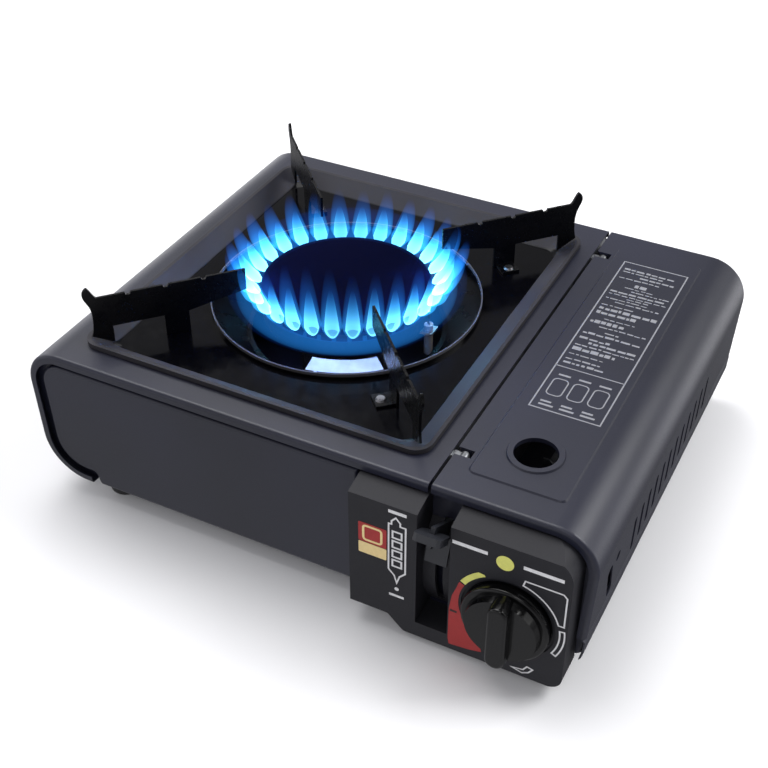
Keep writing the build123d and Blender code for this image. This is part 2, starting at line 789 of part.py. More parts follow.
with BuildPart() as support_rivets:
    rivet_r = (window_outer + inner_leg) / 2
    for turn in support_turns:
        lean = degrees(atan2(tab_width / 2 + support_thickness, rivet_r))
        reach = hypot(rivet_r, tab_width / 2 + support_thickness)
        spot = (burner_x + reach * cos(radians(turn - lean)), burner_y + reach * sin(radians(turn - lean)))
        with BuildSketch(Plane.XY.offset(tab_z)):
            with Locations(spot):
                Circle(rivet_radius)
        extrude(amount=support_thickness)
        with BuildSketch(Plane.XY.offset(tab_z + support_thickness)):
            with Locations(spot):
                Circle(rivet_head)
        extrude(amount=1.2, taper=30)
save(support_rivets.part, "support_rivets")

# -------------------------------------------------- burner
burner_wall = 2.0
port_ring_height = 12.0
cap_height = 4.0
port_count = 36
port_radius = 1.3
cup_neck = 13.0
cap_z = top_z + burner_rise
ring_z = cap_z - cap_height - port_ring_height
cup_depth = 16.0
cup_z = ring_z - cup_depth
cup_shelf = 36.0
mix_z = cup_z - 14.0

with BuildPart() as burner_base:
    with BuildSketch(Plane.XZ.offset(-burner_y)):
        with BuildLine():
            Polyline(
                (burner_x + cup_neck - burner_wall, cup_z - 4),
                (burner_x + cup_neck, cup_z - 4),
                (burner_x + cup_neck, cup_z),
                (burner_x + cup_shelf, cup_z),
                (burner_x + burner_radius - 2, ring_z - 4),
                (burner_x + burner_radius, ring_z - 4),
                (burner_x + burner_radius, ring_z),
                (burner_x + burner_radius - 2 * burner_wall, ring_z),
                (burner_x + cup_shelf - 1, cup_z + burner_wall),
                (burner_x + cup_neck - burner_wall, cup_z + burner_wall),
                close=True,
            )
        make_face()
    revolve(axis=Axis((burner_x, burner_y, 0), (0, 0, 1)))
save(burner_base.part, "burner_base")

with BuildPart() as burner_ring:
    with BuildSketch(Plane.XY.offset(ring_z)):
        with Locations((burner_x, burner_y)):
            Circle(burner_radius)
            Circle(burner_radius - 3 * burner_wall, mode=Mode.SUBTRACT)
    extrude(amount=port_ring_height)
    with BuildSketch(Plane.XY.offset(ring_z + port_ring_height - 5)):
        with Locations((burner_x, burner_y)):
            with PolarLocations(burner_radius - 2 * burner_wall, port_count):
                Rectangle(8 * burner_wall, 2 * port_radius)
    extrude(amount=3.5, mode=Mode.SUBTRACT)
save(burner_ring.part, "burner_ring")

cap_edge = 2.0              # thickness of the cap at its edge, the rest is dome
dome_rise = cap_height - cap_edge
dome_radius = (burner_radius ** 2 + dome_rise ** 2) / (2 * dome_rise)
dome_mid = dome_radius - sqrt(dome_radius ** 2 - burner_radius ** 2 / 4)
spigot_out = burner_radius - 3 * burner_wall - touch
spigot_in = spigot_out - burner_wall
spigot_low = cap_z - cap_height - 6.0

with BuildPart() as burner_cap:
    with BuildSketch(Plane.XZ.offset(-burner_y)):
        with BuildLine():
            Polyline(
                (burner_x, cap_z),
                (burner_x, cap_z - cap_height),
                (burner_x + spigot_in, cap_z - cap_height),
                (burner_x + spigot_in, spigot_low),
                (burner_x + spigot_out, spigot_low),
                (burner_x + spigot_out, cap_z - cap_height),
                (burner_x + burner_radius, cap_z - cap_height),
                (burner_x + burner_radius, cap_z - dome_rise),
            )
            ThreePointArc((burner_x + burner_radius, cap_z - dome_rise),
                          (burner_x + burner_radius / 2, cap_z - dome_mid), (burner_x, cap_z))
        make_face()
    revolve(axis=Axis((burner_x, burner_y, 0), (0, 0, 1)))
save(burner_cap.part, "burner_cap")

tube_radius = 11.0
tube_wall = 1.0
throat_radius = 8.0
mouth_radius = 13.0
tube_turn = -45.0
tube_end_gap = 35.8         # mouth of the tube to the partition, across
tube_reach = (edge_x - tube_end_gap - burner_x) / cos(radians(tube_turn))
throat_start = tube_reach - 42.0
throat_at = tube_reach - 24.0
jet_gap = 4.0
jet_radius = 4.0
jet_length = 14.0
tube_dir = (cos(radians(tube_turn)), sin(radians(tube_turn)), 0)
tube_side = (sin(radians(tube_turn)), -cos(radians(tube_turn)), 0)
holder_side = (-sin(radians(tube_turn)), cos(radians(tube_turn)), 0)
tube_plane = Plane(origin=(burner_x, burner_y, mix_z), x_dir=tube_dir, z_dir=tube_side)
tube_axis = Axis((burner_x, burner_y, mix_z), tube_dir)
riser_radius = cup_neck + touch + tube_wall


def tube_line(inset, end):
    """Half section of the mixing tube: riser end, straight tube, throat and mouth."""
    Polyline((0, 0), (0, tube_radius - inset), (throat_start, tube_radius - inset))
    Spline((throat_start, tube_radius - inset), (throat_at, throat_radius - inset),
           (tube_reach - 8, throat_radius + 1 - inset), (tube_reach + end, mouth_radius - inset),
           tangents=((1, 0), (1, 1)))
    Polyline((tube_reach + end, mouth_radius - inset), (tube_reach + end, 0), (0, 0))


with BuildPart() as mixing_tube:
    with BuildSketch(tube_plane):
        with BuildLine():
            tube_line(0, 0)
        make_face()
    revolve(axis=tube_axis)
    with Locations((burner_x, burner_y, mix_z - tube_radius)):
        Cylinder(riser_radius, tube_radius + cup_z - mix_z, align=(Align.CENTER, Align.CENTER, Align.MIN))
    with BuildSketch(tube_plane):
        with BuildLine():
            tube_line(tube_wall, 1)
        make_face()
    revolve(axis=tube_axis, mode=Mode.SUBTRACT)
    with Locations((burner_x, burner_y, mix_z - tube_radius + tube_wall)):
        Cylinder(riser_radius - tube_wall, 40, align=(Align.CENTER, Align.CENTER, Align.MIN),
                 mode=Mode.SUBTRACT)
save(mixing_tube.part, "mixing_tube")

stand_half = 28.0
stand_width = 16.0
stand_sheet = 1.2
stand_tab = 10.0

with BuildPart() as burner_stand:
    with BuildSketch(Plane.XZ.offset(-burner_y - stand_width / 2)):
        with BuildLine():
            FilletPolyline(
                (burner_x - stand_half + stand_tab, cup_z),
                (burner_x - stand_half, cup_z),
                (burner_x - stand_half, floor_z),
                (burner_x + stand_half, floor_z),
                (burner_x + stand_half, cup_z),
                (burner_x + stand_half - stand_tab, cup_z),
                radius=2,
            )
            offset(amount=stand_sheet, side=Side.LEFT)
        make_face()
    extrude(amount=stand_width)
    with BuildSketch(Plane.XY.offset(floor_z)):
        with Locations((burner_x - 15, burner_y), (burner_x + 15, burner_y)):
            Circle(screw_radius + screw_slack)
    extrude(amount=3 * stand_sheet, mode=Mode.SUBTRACT)
save(burner_stand.part, "burner_stand")

with BuildPart() as stand_screws:
    stand_spots = [(burner_x - 15, burner_y), (burner_x + 15, burner_y)]
    with BuildSketch(Plane.XY.offset(floor_z + stand_sheet)):
        with Locations(*stand_spots):
            Circle(screw_head_radius)
    extrude(amount=screw_head, taper=10)
    with BuildSketch(Plane.XY.offset(floor_z + touch)):
        with Locations(*stand_spots):
            Circle(screw_radius)
    extrude(amount=stand_sheet)
save(stand_screws.part, "stand_screws")

# -------------------------------------------------- jet, its holder and the gas pipe
jet_start = tube_reach + jet_gap
holder_sheet = 1.5
holder_at = jet_start + jet_length / 2
holder_width = 20.0
hex_radius = 6.0

with BuildPart() as gas_jet:
    jet_plane = Plane(origin=tube_plane.from_local_coords((jet_start, 0, 0)), x_dir=(0, 0, 1), z_dir=tube_dir)
    with BuildSketch(jet_plane):
        Circle(jet_radius)
    extrude(amount=jet_length)
    with BuildSketch(jet_plane.offset(holder_at - jet_start + holder_sheet)):
        RegularPolygon(hex_radius, 6)
    extrude(amount=4)
    with BuildSketch(jet_plane):
        Circle(0.4)
    extrude(amount=3, mode=Mode.SUBTRACT)
save(gas_jet.part, "gas_jet")

with BuildPart() as jet_holder:
    holder_origin = tube_plane.from_local_coords((holder_at, 0, 0))
    holder_plane = Plane(origin=holder_origin, x_dir=holder_side, z_dir=tube_dir)
    holder_drop = mix_z - floor_z
    with BuildSketch(holder_plane):
        with Locations((0, (10 - holder_drop) / 2)):
            Rectangle(holder_width, holder_drop + 10)
        Circle(jet_radius + screw_slack, mode=Mode.SUBTRACT)
    extrude(amount=holder_sheet)
    with BuildSketch(holder_plane):
        with Locations((0, -holder_drop + holder_sheet / 2)):
            Rectangle(holder_width, holder_sheet)
    extrude(amount=12)
save(jet_holder.part, "jet_holder")

# -------------------------------------------------- regulator, its bracket and the cartridge socket
reg_left = 21.0             # sides of the regulator, from the left edge of the lid
reg_right = 71.0
reg_front = 18.0
reg_depth = 32.0
reg_low = 11.0              # underside of the regulator above the underside of the body
reg_corner = 7.0
boss_out = 8.0
boss_reach = 6.0
port_out = 5.0
cover_radius = 17.0
bracket_sheet = 1.5
bracket_left = 17.0         # sides of its bracket, from the left edge of the lid
bracket_right = 75.0
bracket_high = 65.0
bracket_foot = 12.0
neck_radius = 9.0
collar_radius = 15.0
collar_length = 4.5
socket_radius = 11.0
socket_bore = 6.7
socket_length = 6.0
seal_wire = 1.3
reg_x0 = lid_left_x + reg_left
reg_y0 = front_y + reg_front
reg_back = reg_y0 + reg_depth
reg_top = base_z + reg_high
reg_mid_x = lid_left_x + (reg_left + reg_right) / 2
bracket_back = reg_back + bracket_sheet
bracket_x0 = lid_left_x + bracket_left
bracket_x1 = lid_left_x + bracket_right
shaft_end = reg_y0 + 8.0

with BuildPart() as regulator_body:
    with BuildSketch(Plane.XZ.offset(-reg_back)):
        with Locations((reg_mid_x, base_z + (reg_low + reg_high) / 2)):
            RectangleRounded(reg_right - reg_left, reg_high - reg_low, reg_corner)
    extrude(amount=reg_depth)
    with BuildSketch(Plane.XZ.offset(-reg_y0)):
        with Locations((knob_cx, knob_cz)):
            Circle(boss_out)
    extrude(amount=boss_reach)
    with BuildSketch(Plane.YZ.offset(reg_x0 - 1)):
        with Locations((pipe_y, pipe_z)):
            Circle(port_out)
    extrude(amount=6)
    with BuildSketch(Plane.XZ.offset(-shaft_end)):
        with Locations((knob_cx, knob_cz)):
            Circle(shaft_radius + fit)
    extrude(amount=30, mode=Mode.SUBTRACT)
save(regulator_body.part, "regulator_body")

cover_y = (reg_y0 + reg_back) / 2
cover_spots = [(reg_mid_x + a * 12, cover_y + b * 12) for a in (-1, 1) for b in (-1, 1)]

with BuildPart() as regulator_cover:
    with BuildSketch(Plane.XY.offset(reg_top)):
        with Locations((reg_mid_x, cover_y)):
            RectangleRounded(2 * cover_radius, 2 * cover_radius - 4, 6)
    extrude(amount=2)
    with BuildSketch(Plane.XY.offset(reg_top + 2)):
        with Locations((reg_mid_x, cover_y)):
            Circle(cover_radius - 6)
    extrude(amount=cover_rise - 2, taper=25)
    with BuildSketch(Plane.XY.offset(reg_top)):
        with Locations(*cover_spots):
            Circle(1.5)
    extrude(amount=2, mode=Mode.SUBTRACT)
save(regulator_cover.part, "regulator_cover")

with BuildPart() as regulator_screws:
    with BuildSketch(Plane.XY.offset(reg_top)):
        with Locations(*cover_spots):
            Circle(1.45)
    extrude(amount=2)
    with BuildSketch(Plane.XY.offset(reg_top + 2)):
        with Locations(*cover_spots):
            Circle(2.8)
    extrude(amount=1.8)
save(regulator_screws.part, "regulator_screws")

with BuildPart() as regulator_bracket:
    with BuildSketch(Plane.XZ.offset(-bracket_back)):
        with Locations(((bracket_x0 + bracket_x1) / 2, (floor_z + base_z + bracket_high) / 2)):
            Rectangle(bracket_right - bracket_left, base_z + bracket_high - floor_z)
        with Locations((can_cx, can_cz)):
            Circle(neck_radius + touch, mode=Mode.SUBTRACT)
    extrude(amount=bracket_sheet)
    with Locations(((bracket_x0 + bracket_x1) / 2, reg_back, floor_z)):
        Box(bracket_right - bracket_left, bracket_foot, bracket_sheet,
            align=(Align.CENTER, Align.MAX, Align.MIN))
    with BuildSketch(Plane.YZ.offset(bracket_x0)):
        with Locations(((lever_y - 7 + reg_back) / 2, lever_z)):
            Rectangle(reg_back - lever_y + 7, 30)
        with Locations((lever_y, lever_z)):
            Circle(lever_pin_radius + screw_slack, mode=Mode.SUBTRACT)
    extrude(amount=bracket_sheet)
    with Locations((can_cx, bracket_back, base_z + bracket_high - 2)):
        Box(10, 8, bracket_sheet, align=(Align.CENTER, Align.MIN, Align.CENTER))
save(regulator_bracket.part, "regulator_bracket")

with BuildPart() as cartridge_socket:
    with BuildSketch(Plane.XZ.offset(-reg_back)):
        with Locations((can_cx, can_cz)):
            Circle(neck_radius)
    extrude(amount=-bracket_sheet)
    with BuildSketch(Plane.XZ.offset(-bracket_back)):
        with Locations((can_cx, can_cz)):
            Circle(collar_radius)
    extrude(amount=-collar_length)
    with BuildSketch(Plane.XZ.offset(-bracket_back - collar_length)):
        with Locations((can_cx, can_cz)):
            Circle(socket_radius)
    extrude(amount=-socket_length)
    with BuildSketch(Plane.XZ.offset(-bracket_back - collar_length)):
        with Locations((can_cx, can_cz)):
            Circle(socket_bore)
    extrude(amount=-socket_length, mode=Mode.SUBTRACT)
    with BuildSketch(Plane.XZ.offset(-reg_back)):
        with Locations((can_cx, can_cz)):
            Circle(1.6)
    extrude(amount=-30, mode=Mode.SUBTRACT)
save(cartridge_socket.part, "cartridge_socket")

seal_y = bracket_back + collar_length + seal_wire

with BuildPart() as socket_seal:
    with BuildSketch(Plane.XY.offset(can_cz)):
        with Locations((can_cx + socket_bore - seal_wire - fit, seal_y)):
            Circle(seal_wire)
    revolve(axis=Axis((can_cx, seal_y, can_cz), (0, 1, 0)))
save(socket_seal.part, "socket_seal")

# -------------------------------------------------- gas pipe
jet_rear = tube_plane.from_local_coords((jet_start + jet_length, 0, 0))
pipe_side_gap = 9.0         # upright stretch of the pipe to the partition
pipe_x = edge_x - pipe_side_gap
pipe_bend = 8.0
nut_length = 7.0
nut_radius = 5.6

with BuildPart() as gas_pipe:
    with BuildLine() as pipe_path:
        FilletPolyline(
            (reg_x0 - 1, pipe_y, pipe_z),
            (pipe_x, pipe_y, pipe_z),
            (pipe_x, pipe_y, mix_z),
            (jet_rear.X, jet_rear.Y, mix_z),
            radius=pipe_bend,
        )
    with BuildSketch(pipe_path.line ^ 0):
        Circle(pipe_radius)
        Circle(pipe_radius - 0.8, mode=Mode.SUBTRACT)
    sweep()
save(gas_pipe.part, "gas_pipe")

with BuildPart() as pipe_nut:
    with BuildSketch(Plane.YZ.offset(reg_x0 - 1 - nut_length)):
        with Locations((pipe_y, pipe_z)):
            RegularPolygon(nut_radius, 6)
            Circle(pipe_radius + screw_slack, mode=Mode.SUBTRACT)
    extrude(amount=nut_length)
save(pipe_nut.part, "pipe_nut")

# -------------------------------------------------- heat plate and cartridge cradle
heat_end = 69.0             # far end of the strip, from the left edge of the lid
heat_arc_in = dish_inner + 1.0
heat_arc_width = 12.0
heat_arc_out = heat_arc_in + heat_arc_width
heat_arc_turn = -63.0
heat_arc_half = 18.0
heat_lift = 15.0            # the arc lies this far over the foot of the dish
heat_arc_z = well_z - dish_fall + heat_lift

with BuildPart() as heat_plate:
    arc_start = heat_arc_turn - heat_arc_half
    arc_plane = Plane(origin=(burner_x, burner_y, 0),
                      x_dir=(cos(radians(arc_start)), sin(radians(arc_start)), 0),
                      z_dir=(sin(radians(arc_start)), -cos(radians(arc_start)), 0))
    with BuildSketch(arc_plane):
        with Locations(((heat_arc_in + heat_arc_out) / 2, heat_arc_z + heat_sheet / 2)):
            Rectangle(heat_arc_width, heat_sheet)
    revolve(axis=Axis((burner_x, burner_y, 0), (0, 0, 1)), revolution_arc=2 * heat_arc_half)
    with Locations((heat_stem_x, heat_stem_y, heat_z)):
        Box(heat_sheet, heat_stem_width, heat_arc_z + heat_sheet - heat_z,
            align=(Align.MIN, Align.CENTER, Align.MIN))
    with BuildSketch(Plane.XY.offset(heat_z)):
        with BuildLine():
            Polyline(
                (heat_stem_x, heat_stem_y - heat_stem_width / 2),
                (heat_stem_x + heat_width, heat_stem_y - heat_stem_width / 2),
                (heat_stem_x + heat_width, heat_y - heat_width / 2),
                (lid_left_x + heat_end, heat_y - heat_width / 2),
                (lid_left_x + heat_end, heat_y + heat_width / 2),
                (heat_stem_x, heat_y + heat_width / 2),
                close=True,
            )
        make_face()
    extrude(amount=heat_sheet)
save(heat_plate.part, "heat_plate")

cradle_front = 125.0        # ribs of the cradle, behind the body front
cradle_span = 100.0
cradle_y = [front_y + cradle_front, front_y + cradle_front + cradle_span]
cradle_sheet = 1.2
cradle_width = 56.0
cradle_high = 13.0
cradle_gap = 0.5

with BuildPart() as cartridge_cradle:
    with BuildSketch(Plane.XY.offset(floor_z)):
        with Locations((can_cx, (cradle_y[0] + cradle_y[1]) / 2)):
            Rectangle(cradle_width, cradle_y[1] - cradle_y[0])
            RectangleRounded(cradle_width - 16, cradle_y[1] - cradle_y[0] - 16, 6, mode=Mode.SUBTRACT)
    extrude(amount=cradle_sheet)
    for y in cradle_y:
        with BuildSketch(Plane.XZ.offset(-y - cradle_sheet / 2)):
            with Locations((can_cx, floor_z + cradle_high / 2)):
                Rectangle(cradle_width, cradle_high)
            with Locations((can_cx, can_cz)):
                Circle(can_radius + cradle_gap, mode=Mode.SUBTRACT)
        extrude(amount=cradle_sheet)
save(cartridge_cradle.part, "cartridge_cradle")

# -------------------------------------------------- lever that clamps the cartridge
hub_radius = 14.0
arm_width = 11.0
tab_root = 62.0
tab_cross = 15.0
tab_height = 4.0
skirt_radius = 53.0
skirt_sheet = 1.5
skirt_low = 16.0            # angles of the skirt below the arm
skirt_high = 2.0
skirt_cross = 12.0
drive_pin_radius = 2.0
drive_pin_reach = 6.0
arm_turn = 180 - lever_rest_angle               # arm direction in the Y-Z plane
arm_y = cos(radians(arm_turn))
arm_z = sin(radians(arm_turn))
drive_tilt = lever_turn / 2
drive_y = lever_y + drive_radius * sin(radians(drive_tilt))
drive_z = lever_z + drive_radius * cos(radians(drive_tilt))
carriage_travel = 2 * drive_radius * sin(radians(drive_tilt))
tab_mid = (tab_root + lever_reach) / 2

with BuildPart() as lever_arm:
    with BuildSketch(Plane.YZ.offset(blade_x - lever_thickness / 2)):
        with Locations((lever_y, lever_z)):
            Circle(hub_radius)
        with Locations((lever_y + arm_y * tab_mid / 2, lever_z + arm_z * tab_mid / 2)):
            Rectangle(tab_mid, arm_width, rotation=arm_turn)
        with Locations((lever_y, lever_z)):
            Circle(lever_pin_radius + fit, mode=Mode.SUBTRACT)
    extrude(amount=lever_thickness)
    tab_plane = Plane(origin=(blade_x, lever_y + arm_y * tab_mid, lever_z + arm_z * tab_mid),
                      x_dir=(1, 0, 0), z_dir=(0, -arm_z, arm_y))
    with BuildSketch(tab_plane.offset(-tab_height / 2)):
        RectangleRounded(tab_cross, lever_reach - tab_root, 2.5)
    extrude(amount=tab_height)
    with BuildSketch(Plane.YZ.offset(blade_x - skirt_cross / 2)):
        with BuildLine():
            skirt_start = arm_turn + skirt_high
            out_arc = CenterArc((lever_y, lever_z), skirt_radius + skirt_sheet, skirt_start, skirt_low)
            in_arc = CenterArc((lever_y, lever_z), skirt_radius, skirt_start, skirt_low)
            Line(out_arc @ 0, in_arc @ 0)
            Line(out_arc @ 1, in_arc @ 1)
        make_face()
    extrude(amount=skirt_cross)
    with BuildSketch(Plane.YZ.offset(blade_x)):
        with Locations((drive_y, drive_z)):
            Circle(drive_pin_radius)
    extrude(amount=lever_thickness / 2 + drive_pin_reach)
save(lever_arm.part, "lever_arm")

pivot_head = 4.0
pivot_cap = 1.2

with BuildPart() as lever_pivot_pin:
    with BuildSketch(Plane.YZ.offset(edge_x - sheet)):
        with Locations((lever_y, lever_z)):
            Circle(lever_pin_radius)
    extrude(amount=bracket_x0 + bracket_sheet - edge_x + sheet)
    with BuildSketch(Plane.YZ.offset(bracket_x0 + bracket_sheet)):
        with Locations((lever_y, lever_z)):
            Circle(pivot_head)
    extrude(amount=pivot_cap)
save(lever_pivot_pin.part, "lever_pivot_pin")

# -------------------------------------------------- carriage that draws the cartridge onto the socket
riser_gap = 1.8             # lever blade to the riser
riser_sheet = 2.0
riser_x = blade_x + lever_thickness / 2 + riser_gap
carriage_sheet = 1.2
carriage_z = floor_z + slip
carriage_front = bracket_back - front_y + carriage_travel + 0.6
carriage_depth = 20.0
stud_radius = 2.5
stud_head = 4.5
pivot_slot = 2 * lever_pin_radius + 1.0         # width of the slot that rides past the lever pivot
stud_slack = 0.5
stud_slot = 2 * stud_radius + 2 * stud_slack
hook_height = 9.0
hook_width = 8.0
riser_front = lever_setback - 6.0
riser_top = drive_z + 6.0
plate_y0 = front_y + carriage_front
plate_y1 = plate_y0 + carriage_depth
stud_y = plate_y0 + stud_radius + stud_slack + 2.0
stud_inset = 18.0           # studs, in from the ends of the plate
stud_spots = [(riser_x + stud_inset, stud_y), (bracket_x1 - stud_inset, stud_y)]
peg_radius = 1.2
spring_x = edge_x + 5.0
spring_z = floor_z + 9.0
peg_y = plate_y0 + 2.0

with BuildPart() as push_carriage:
    with BuildSketch(Plane.XY.offset(carriage_z)):
        with Locations(((riser_x + bracket_x1) / 2, (plate_y0 + plate_y1) / 2)):
            Rectangle(bracket_x1 - riser_x, carriage_depth)
        with Locations(*[(x, y + carriage_travel / 2) for x, y in stud_spots]):
            SlotOverall(carriage_travel + stud_slot, stud_slot, rotation=90, mode=Mode.SUBTRACT)
    extrude(amount=carriage_sheet)
    with BuildSketch(Plane.YZ.offset(riser_x)):
        with BuildLine():
            Polyline(
                (plate_y1, carriage_z),
                (plate_y1, carriage_z + 12),
                (front_y + riser_front + 18, riser_top),
                (front_y + riser_front, riser_top),
                (front_y + riser_front, lever_z - 8),
                (plate_y0, carriage_z + 14),
                (plate_y0, carriage_z),
                close=True,
            )
        make_face()
        with Locations((lever_y + carriage_travel / 2, lever_z)):
            SlotOverall(carriage_travel + pivot_slot, pivot_slot, mode=Mode.SUBTRACT)
        with Locations((drive_y, drive_z)):
            SlotOverall(2 * drive_pin_radius + 3, 2 * drive_pin_radius + 0.6, rotation=90, mode=Mode.SUBTRACT)
    extrude(amount=riser_sheet)
    for x in (can_cx - 22, can_cx + 22):
        with Locations((x, plate_y1 - carriage_sheet / 2, carriage_z)):
            Box(hook_width, carriage_sheet, hook_height, align=(Align.CENTER, Align.CENTER, Align.MIN))
    with BuildSketch(Plane.YZ.offset(spring_x - 1)):
        with Locations((peg_y, spring_z)):
            Circle(peg_radius)
    extrude(amount=riser_x - spring_x + 1)
save(push_carriage.part, "push_carriage")

with BuildPart() as carriage_studs:
    stud_neck = carriage_z + carriage_sheet + slip
    with BuildSketch(Plane.XY.offset(floor_z)):
        with Locations(*stud_spots):
            Circle(stud_radius)
    extrude(amount=stud_neck - floor_z)
    with BuildSketch(Plane.XY.offset(stud_neck)):
        with Locations(*stud_spots):
            Circle(stud_head)
    extrude(amount=1.2)
save(carriage_studs.part, "carriage_studs")

spring_wire = 0.45
spring_radius = 2.6
spring_length = 24.0
spring_turns = 14
spring_start = peg_y + peg_radius + spring_wire + slip
anchor_y = spring_start + spring_length + spring_wire + slip

with BuildPart() as carriage_spring:
    with BuildLine() as coil:
        Helix(pitch=spring_length / spring_turns, height=spring_length, radius=spring_radius,
              center=(spring_x, spring_start, spring_z), direction=(0, 1, 0))
    with BuildSketch(coil.line ^ 0):
        Circle(spring_wire)
    sweep(is_frenet=True)
save(carriage_spring.part, "carriage_spring")

with BuildPart() as spring_anchor:
    with BuildSketch(Plane.XZ.offset(-anchor_y - carriage_sheet)):
        with Locations((spring_x, (floor_z + spring_z + 4) / 2)):
            Rectangle(8, spring_z + 4 - floor_z)
    extrude(amount=carriage_sheet)
    with Locations((spring_x, anchor_y + carriage_sheet, floor_z)):
        Box(8, 10, carriage_sheet, align=(Align.CENTER, Align.MIN, Align.MIN))
save(spring_anchor.part, "spring_anchor")

# -------------------------------------------------- knob, spindle and igniter
face_y = front_y - control_proud                # front face of the control housing
dial_recess = 1.2
dial_slack = 1.5
knob_back = face_y + dial_recess - knob_gap
knob_front = face_y - knob_depth
knob_skirt = 6.0
knob_dome = 10.5
grip_width_knob = 10.0
shaft_grip = 9.0
cam_radius = 9.5
cam_lift = 5.0
cam_sheet = 3.0
cam_front = front_y + 8.0
plunger_radius = 2.0
plunger_length = 22.0
plunger_gap = 0.6
igniter_low = 15.0          # igniter body above the cam
igniter_height = 30.0
igniter_width = 13.0
igniter_y = cam_front + cam_sheet / 2
igniter_depth = 2 * (igniter_y - panel_back)

with BuildPart() as knob:
    with BuildSketch(Plane.XZ.offset(-knob_back)):
        with Locations((knob_cx, knob_cz)):
            Circle(knob_radius)
    extrude(amount=knob_skirt, taper=2)
    fillet(knob.faces().sort_by(Axis.Y)[0].edges(), radius=1.5)
    with BuildSketch(Plane.XZ.offset(-knob_back + knob_skirt / 2)):
        with Locations((knob_cx, knob_cz)):
            Circle(knob_radius - 2.5)
    extrude(amount=knob_dome - knob_skirt / 2, taper=14)
    with BuildSketch(Plane.XZ.offset(-knob_back + knob_skirt / 2)):
        with Locations((knob_cx, knob_cz)):
            SlotOverall(2 * knob_radius - 3, grip_width_knob + 3, rotation=90)
    extrude(amount=knob_back - knob_skirt / 2 - knob_front, taper=6)
    fillet(knob.faces().sort_by(Axis.Y)[0].edges(), radius=1.5)
    with BuildSketch(Plane.XZ.offset(-knob_back)):
        with Locations((knob_cx, knob_cz)):
            Circle(shaft_radius)
    extrude(amount=shaft_grip, mode=Mode.SUBTRACT)
save(knob.part, "knob")

with BuildPart() as knob_shaft:
    with BuildSketch(Plane.XZ.offset(-shaft_end + 0.5)):
        with Locations((knob_cx, knob_cz)):
            Circle(shaft_radius)
    extrude(amount=shaft_end - 0.5 - knob_back + shaft_grip)
save(knob_shaft.part, "knob_shaft")


def cam_reach(turn):
    """Cam radius at an angle seen from the front, rising with the turn of the knob."""
    rise = (90 - turn) % 360
    if rise <= knob_turn:
        return cam_radius + cam_lift * rise / knob_turn
    return cam_radius + cam_lift * (360 - rise) / (360 - knob_turn)


def cam_point(turn):
    reach = cam_reach(turn)
    return (knob_cx + reach * cos(radians(turn)), knob_cz + reach * sin(radians(turn)))


with BuildPart() as igniter_cam:
    with BuildSketch(Plane.XZ.offset(-cam_front - cam_sheet)):
        with BuildLine():
            Spline(*[cam_point(90 - knob_turn * i / 10) for i in range(11)])
            Spline(*[cam_point(90 - knob_turn - (360 - knob_turn) * i / 10) for i in range(11)])
        make_face()
        with Locations((knob_cx, knob_cz)):
            Circle(shaft_radius, mode=Mode.SUBTRACT)
    extrude(amount=cam_sheet)
save(igniter_cam.part, "igniter_cam")

igniter_z = knob_cz + igniter_low
plunger_z = knob_cz + cam_radius + plunger_gap

with BuildPart() as piezo_igniter:
    with Locations((knob_cx, igniter_y, igniter_z)):
        Box(igniter_width, igniter_depth, igniter_height, align=(Align.CENTER, Align.CENTER, Align.MIN))
    fillet(piezo_igniter.edges().filter_by(Axis.Z), radius=1)
    with Locations((knob_cx, igniter_y, igniter_z)):
        Cylinder(plunger_radius + 0.1, igniter_height - 4, align=(Align.CENTER, Align.CENTER, Align.MIN),
                 mode=Mode.SUBTRACT)
save(piezo_igniter.part, "piezo_igniter")

with BuildPart() as igniter_plunger:
    with Locations((knob_cx, igniter_y, plunger_z)):
        Cylinder(plunger_radius, plunger_length - cam_lift, align=(Align.CENTER, Align.CENTER, Align.MIN))
    fillet(igniter_plunger.faces().sort_by(Axis.Z)[0].edges(), radius=0.8)
save(igniter_plunger.part, "igniter_plunger")

# -------------------------------------------------- electrode and its wire
electrode_r = burner_radius + 3.4
rod_radius = 0.8
ceramic_radius = 2.6
ceramic_low = cup_z - 3.0
ceramic_high = ring_z + 1.0
tip_z = ring_z + port_ring_height - 2.0
electrode_x = burner_x + electrode_r
wire_start_x = knob_cx + 3.0
wire_bend = 6.0

with BuildPart() as electrode_ceramic:
    with Locations((electrode_x, burner_y, ceramic_low)):
        Cylinder(ceramic_radius, ceramic_high - ceramic_low, align=(Align.CENTER, Align.CENTER, Align.MIN))
        Cylinder(rod_radius, ceramic_high - ceramic_low, align=(Align.CENTER, Align.CENTER, Align.MIN),
                 mode=Mode.SUBTRACT)
save(electrode_ceramic.part, "electrode_ceramic")

with BuildPart() as electrode_rod:
    with BuildSketch(Plane.XY.offset(ceramic_low)):
        with Locations((electrode_x, burner_y)):
            Circle(rod_radius)
    extrude(amount=tip_z - ceramic_low)
save(electrode_rod.part, "electrode_rod")

clamp_z = ring_z - 3.0

with BuildPart() as electrode_clamp:
    with BuildSketch(Plane.XY.offset(clamp_z - 1)):
        with Locations((burner_x + burner_radius + 3.7, burner_y)):
            Rectangle(7.4 - touch, 9)
        with Locations((electrode_x, burner_y)):
            Circle(ceramic_radius + screw_slack, mode=Mode.SUBTRACT)
        with Locations((burner_x, burner_y)):
            Circle(burner_radius + screw_slack, mode=Mode.SUBTRACT)
    extrude(amount=1.5)
save(electrode_clamp.part, "electrode_clamp")

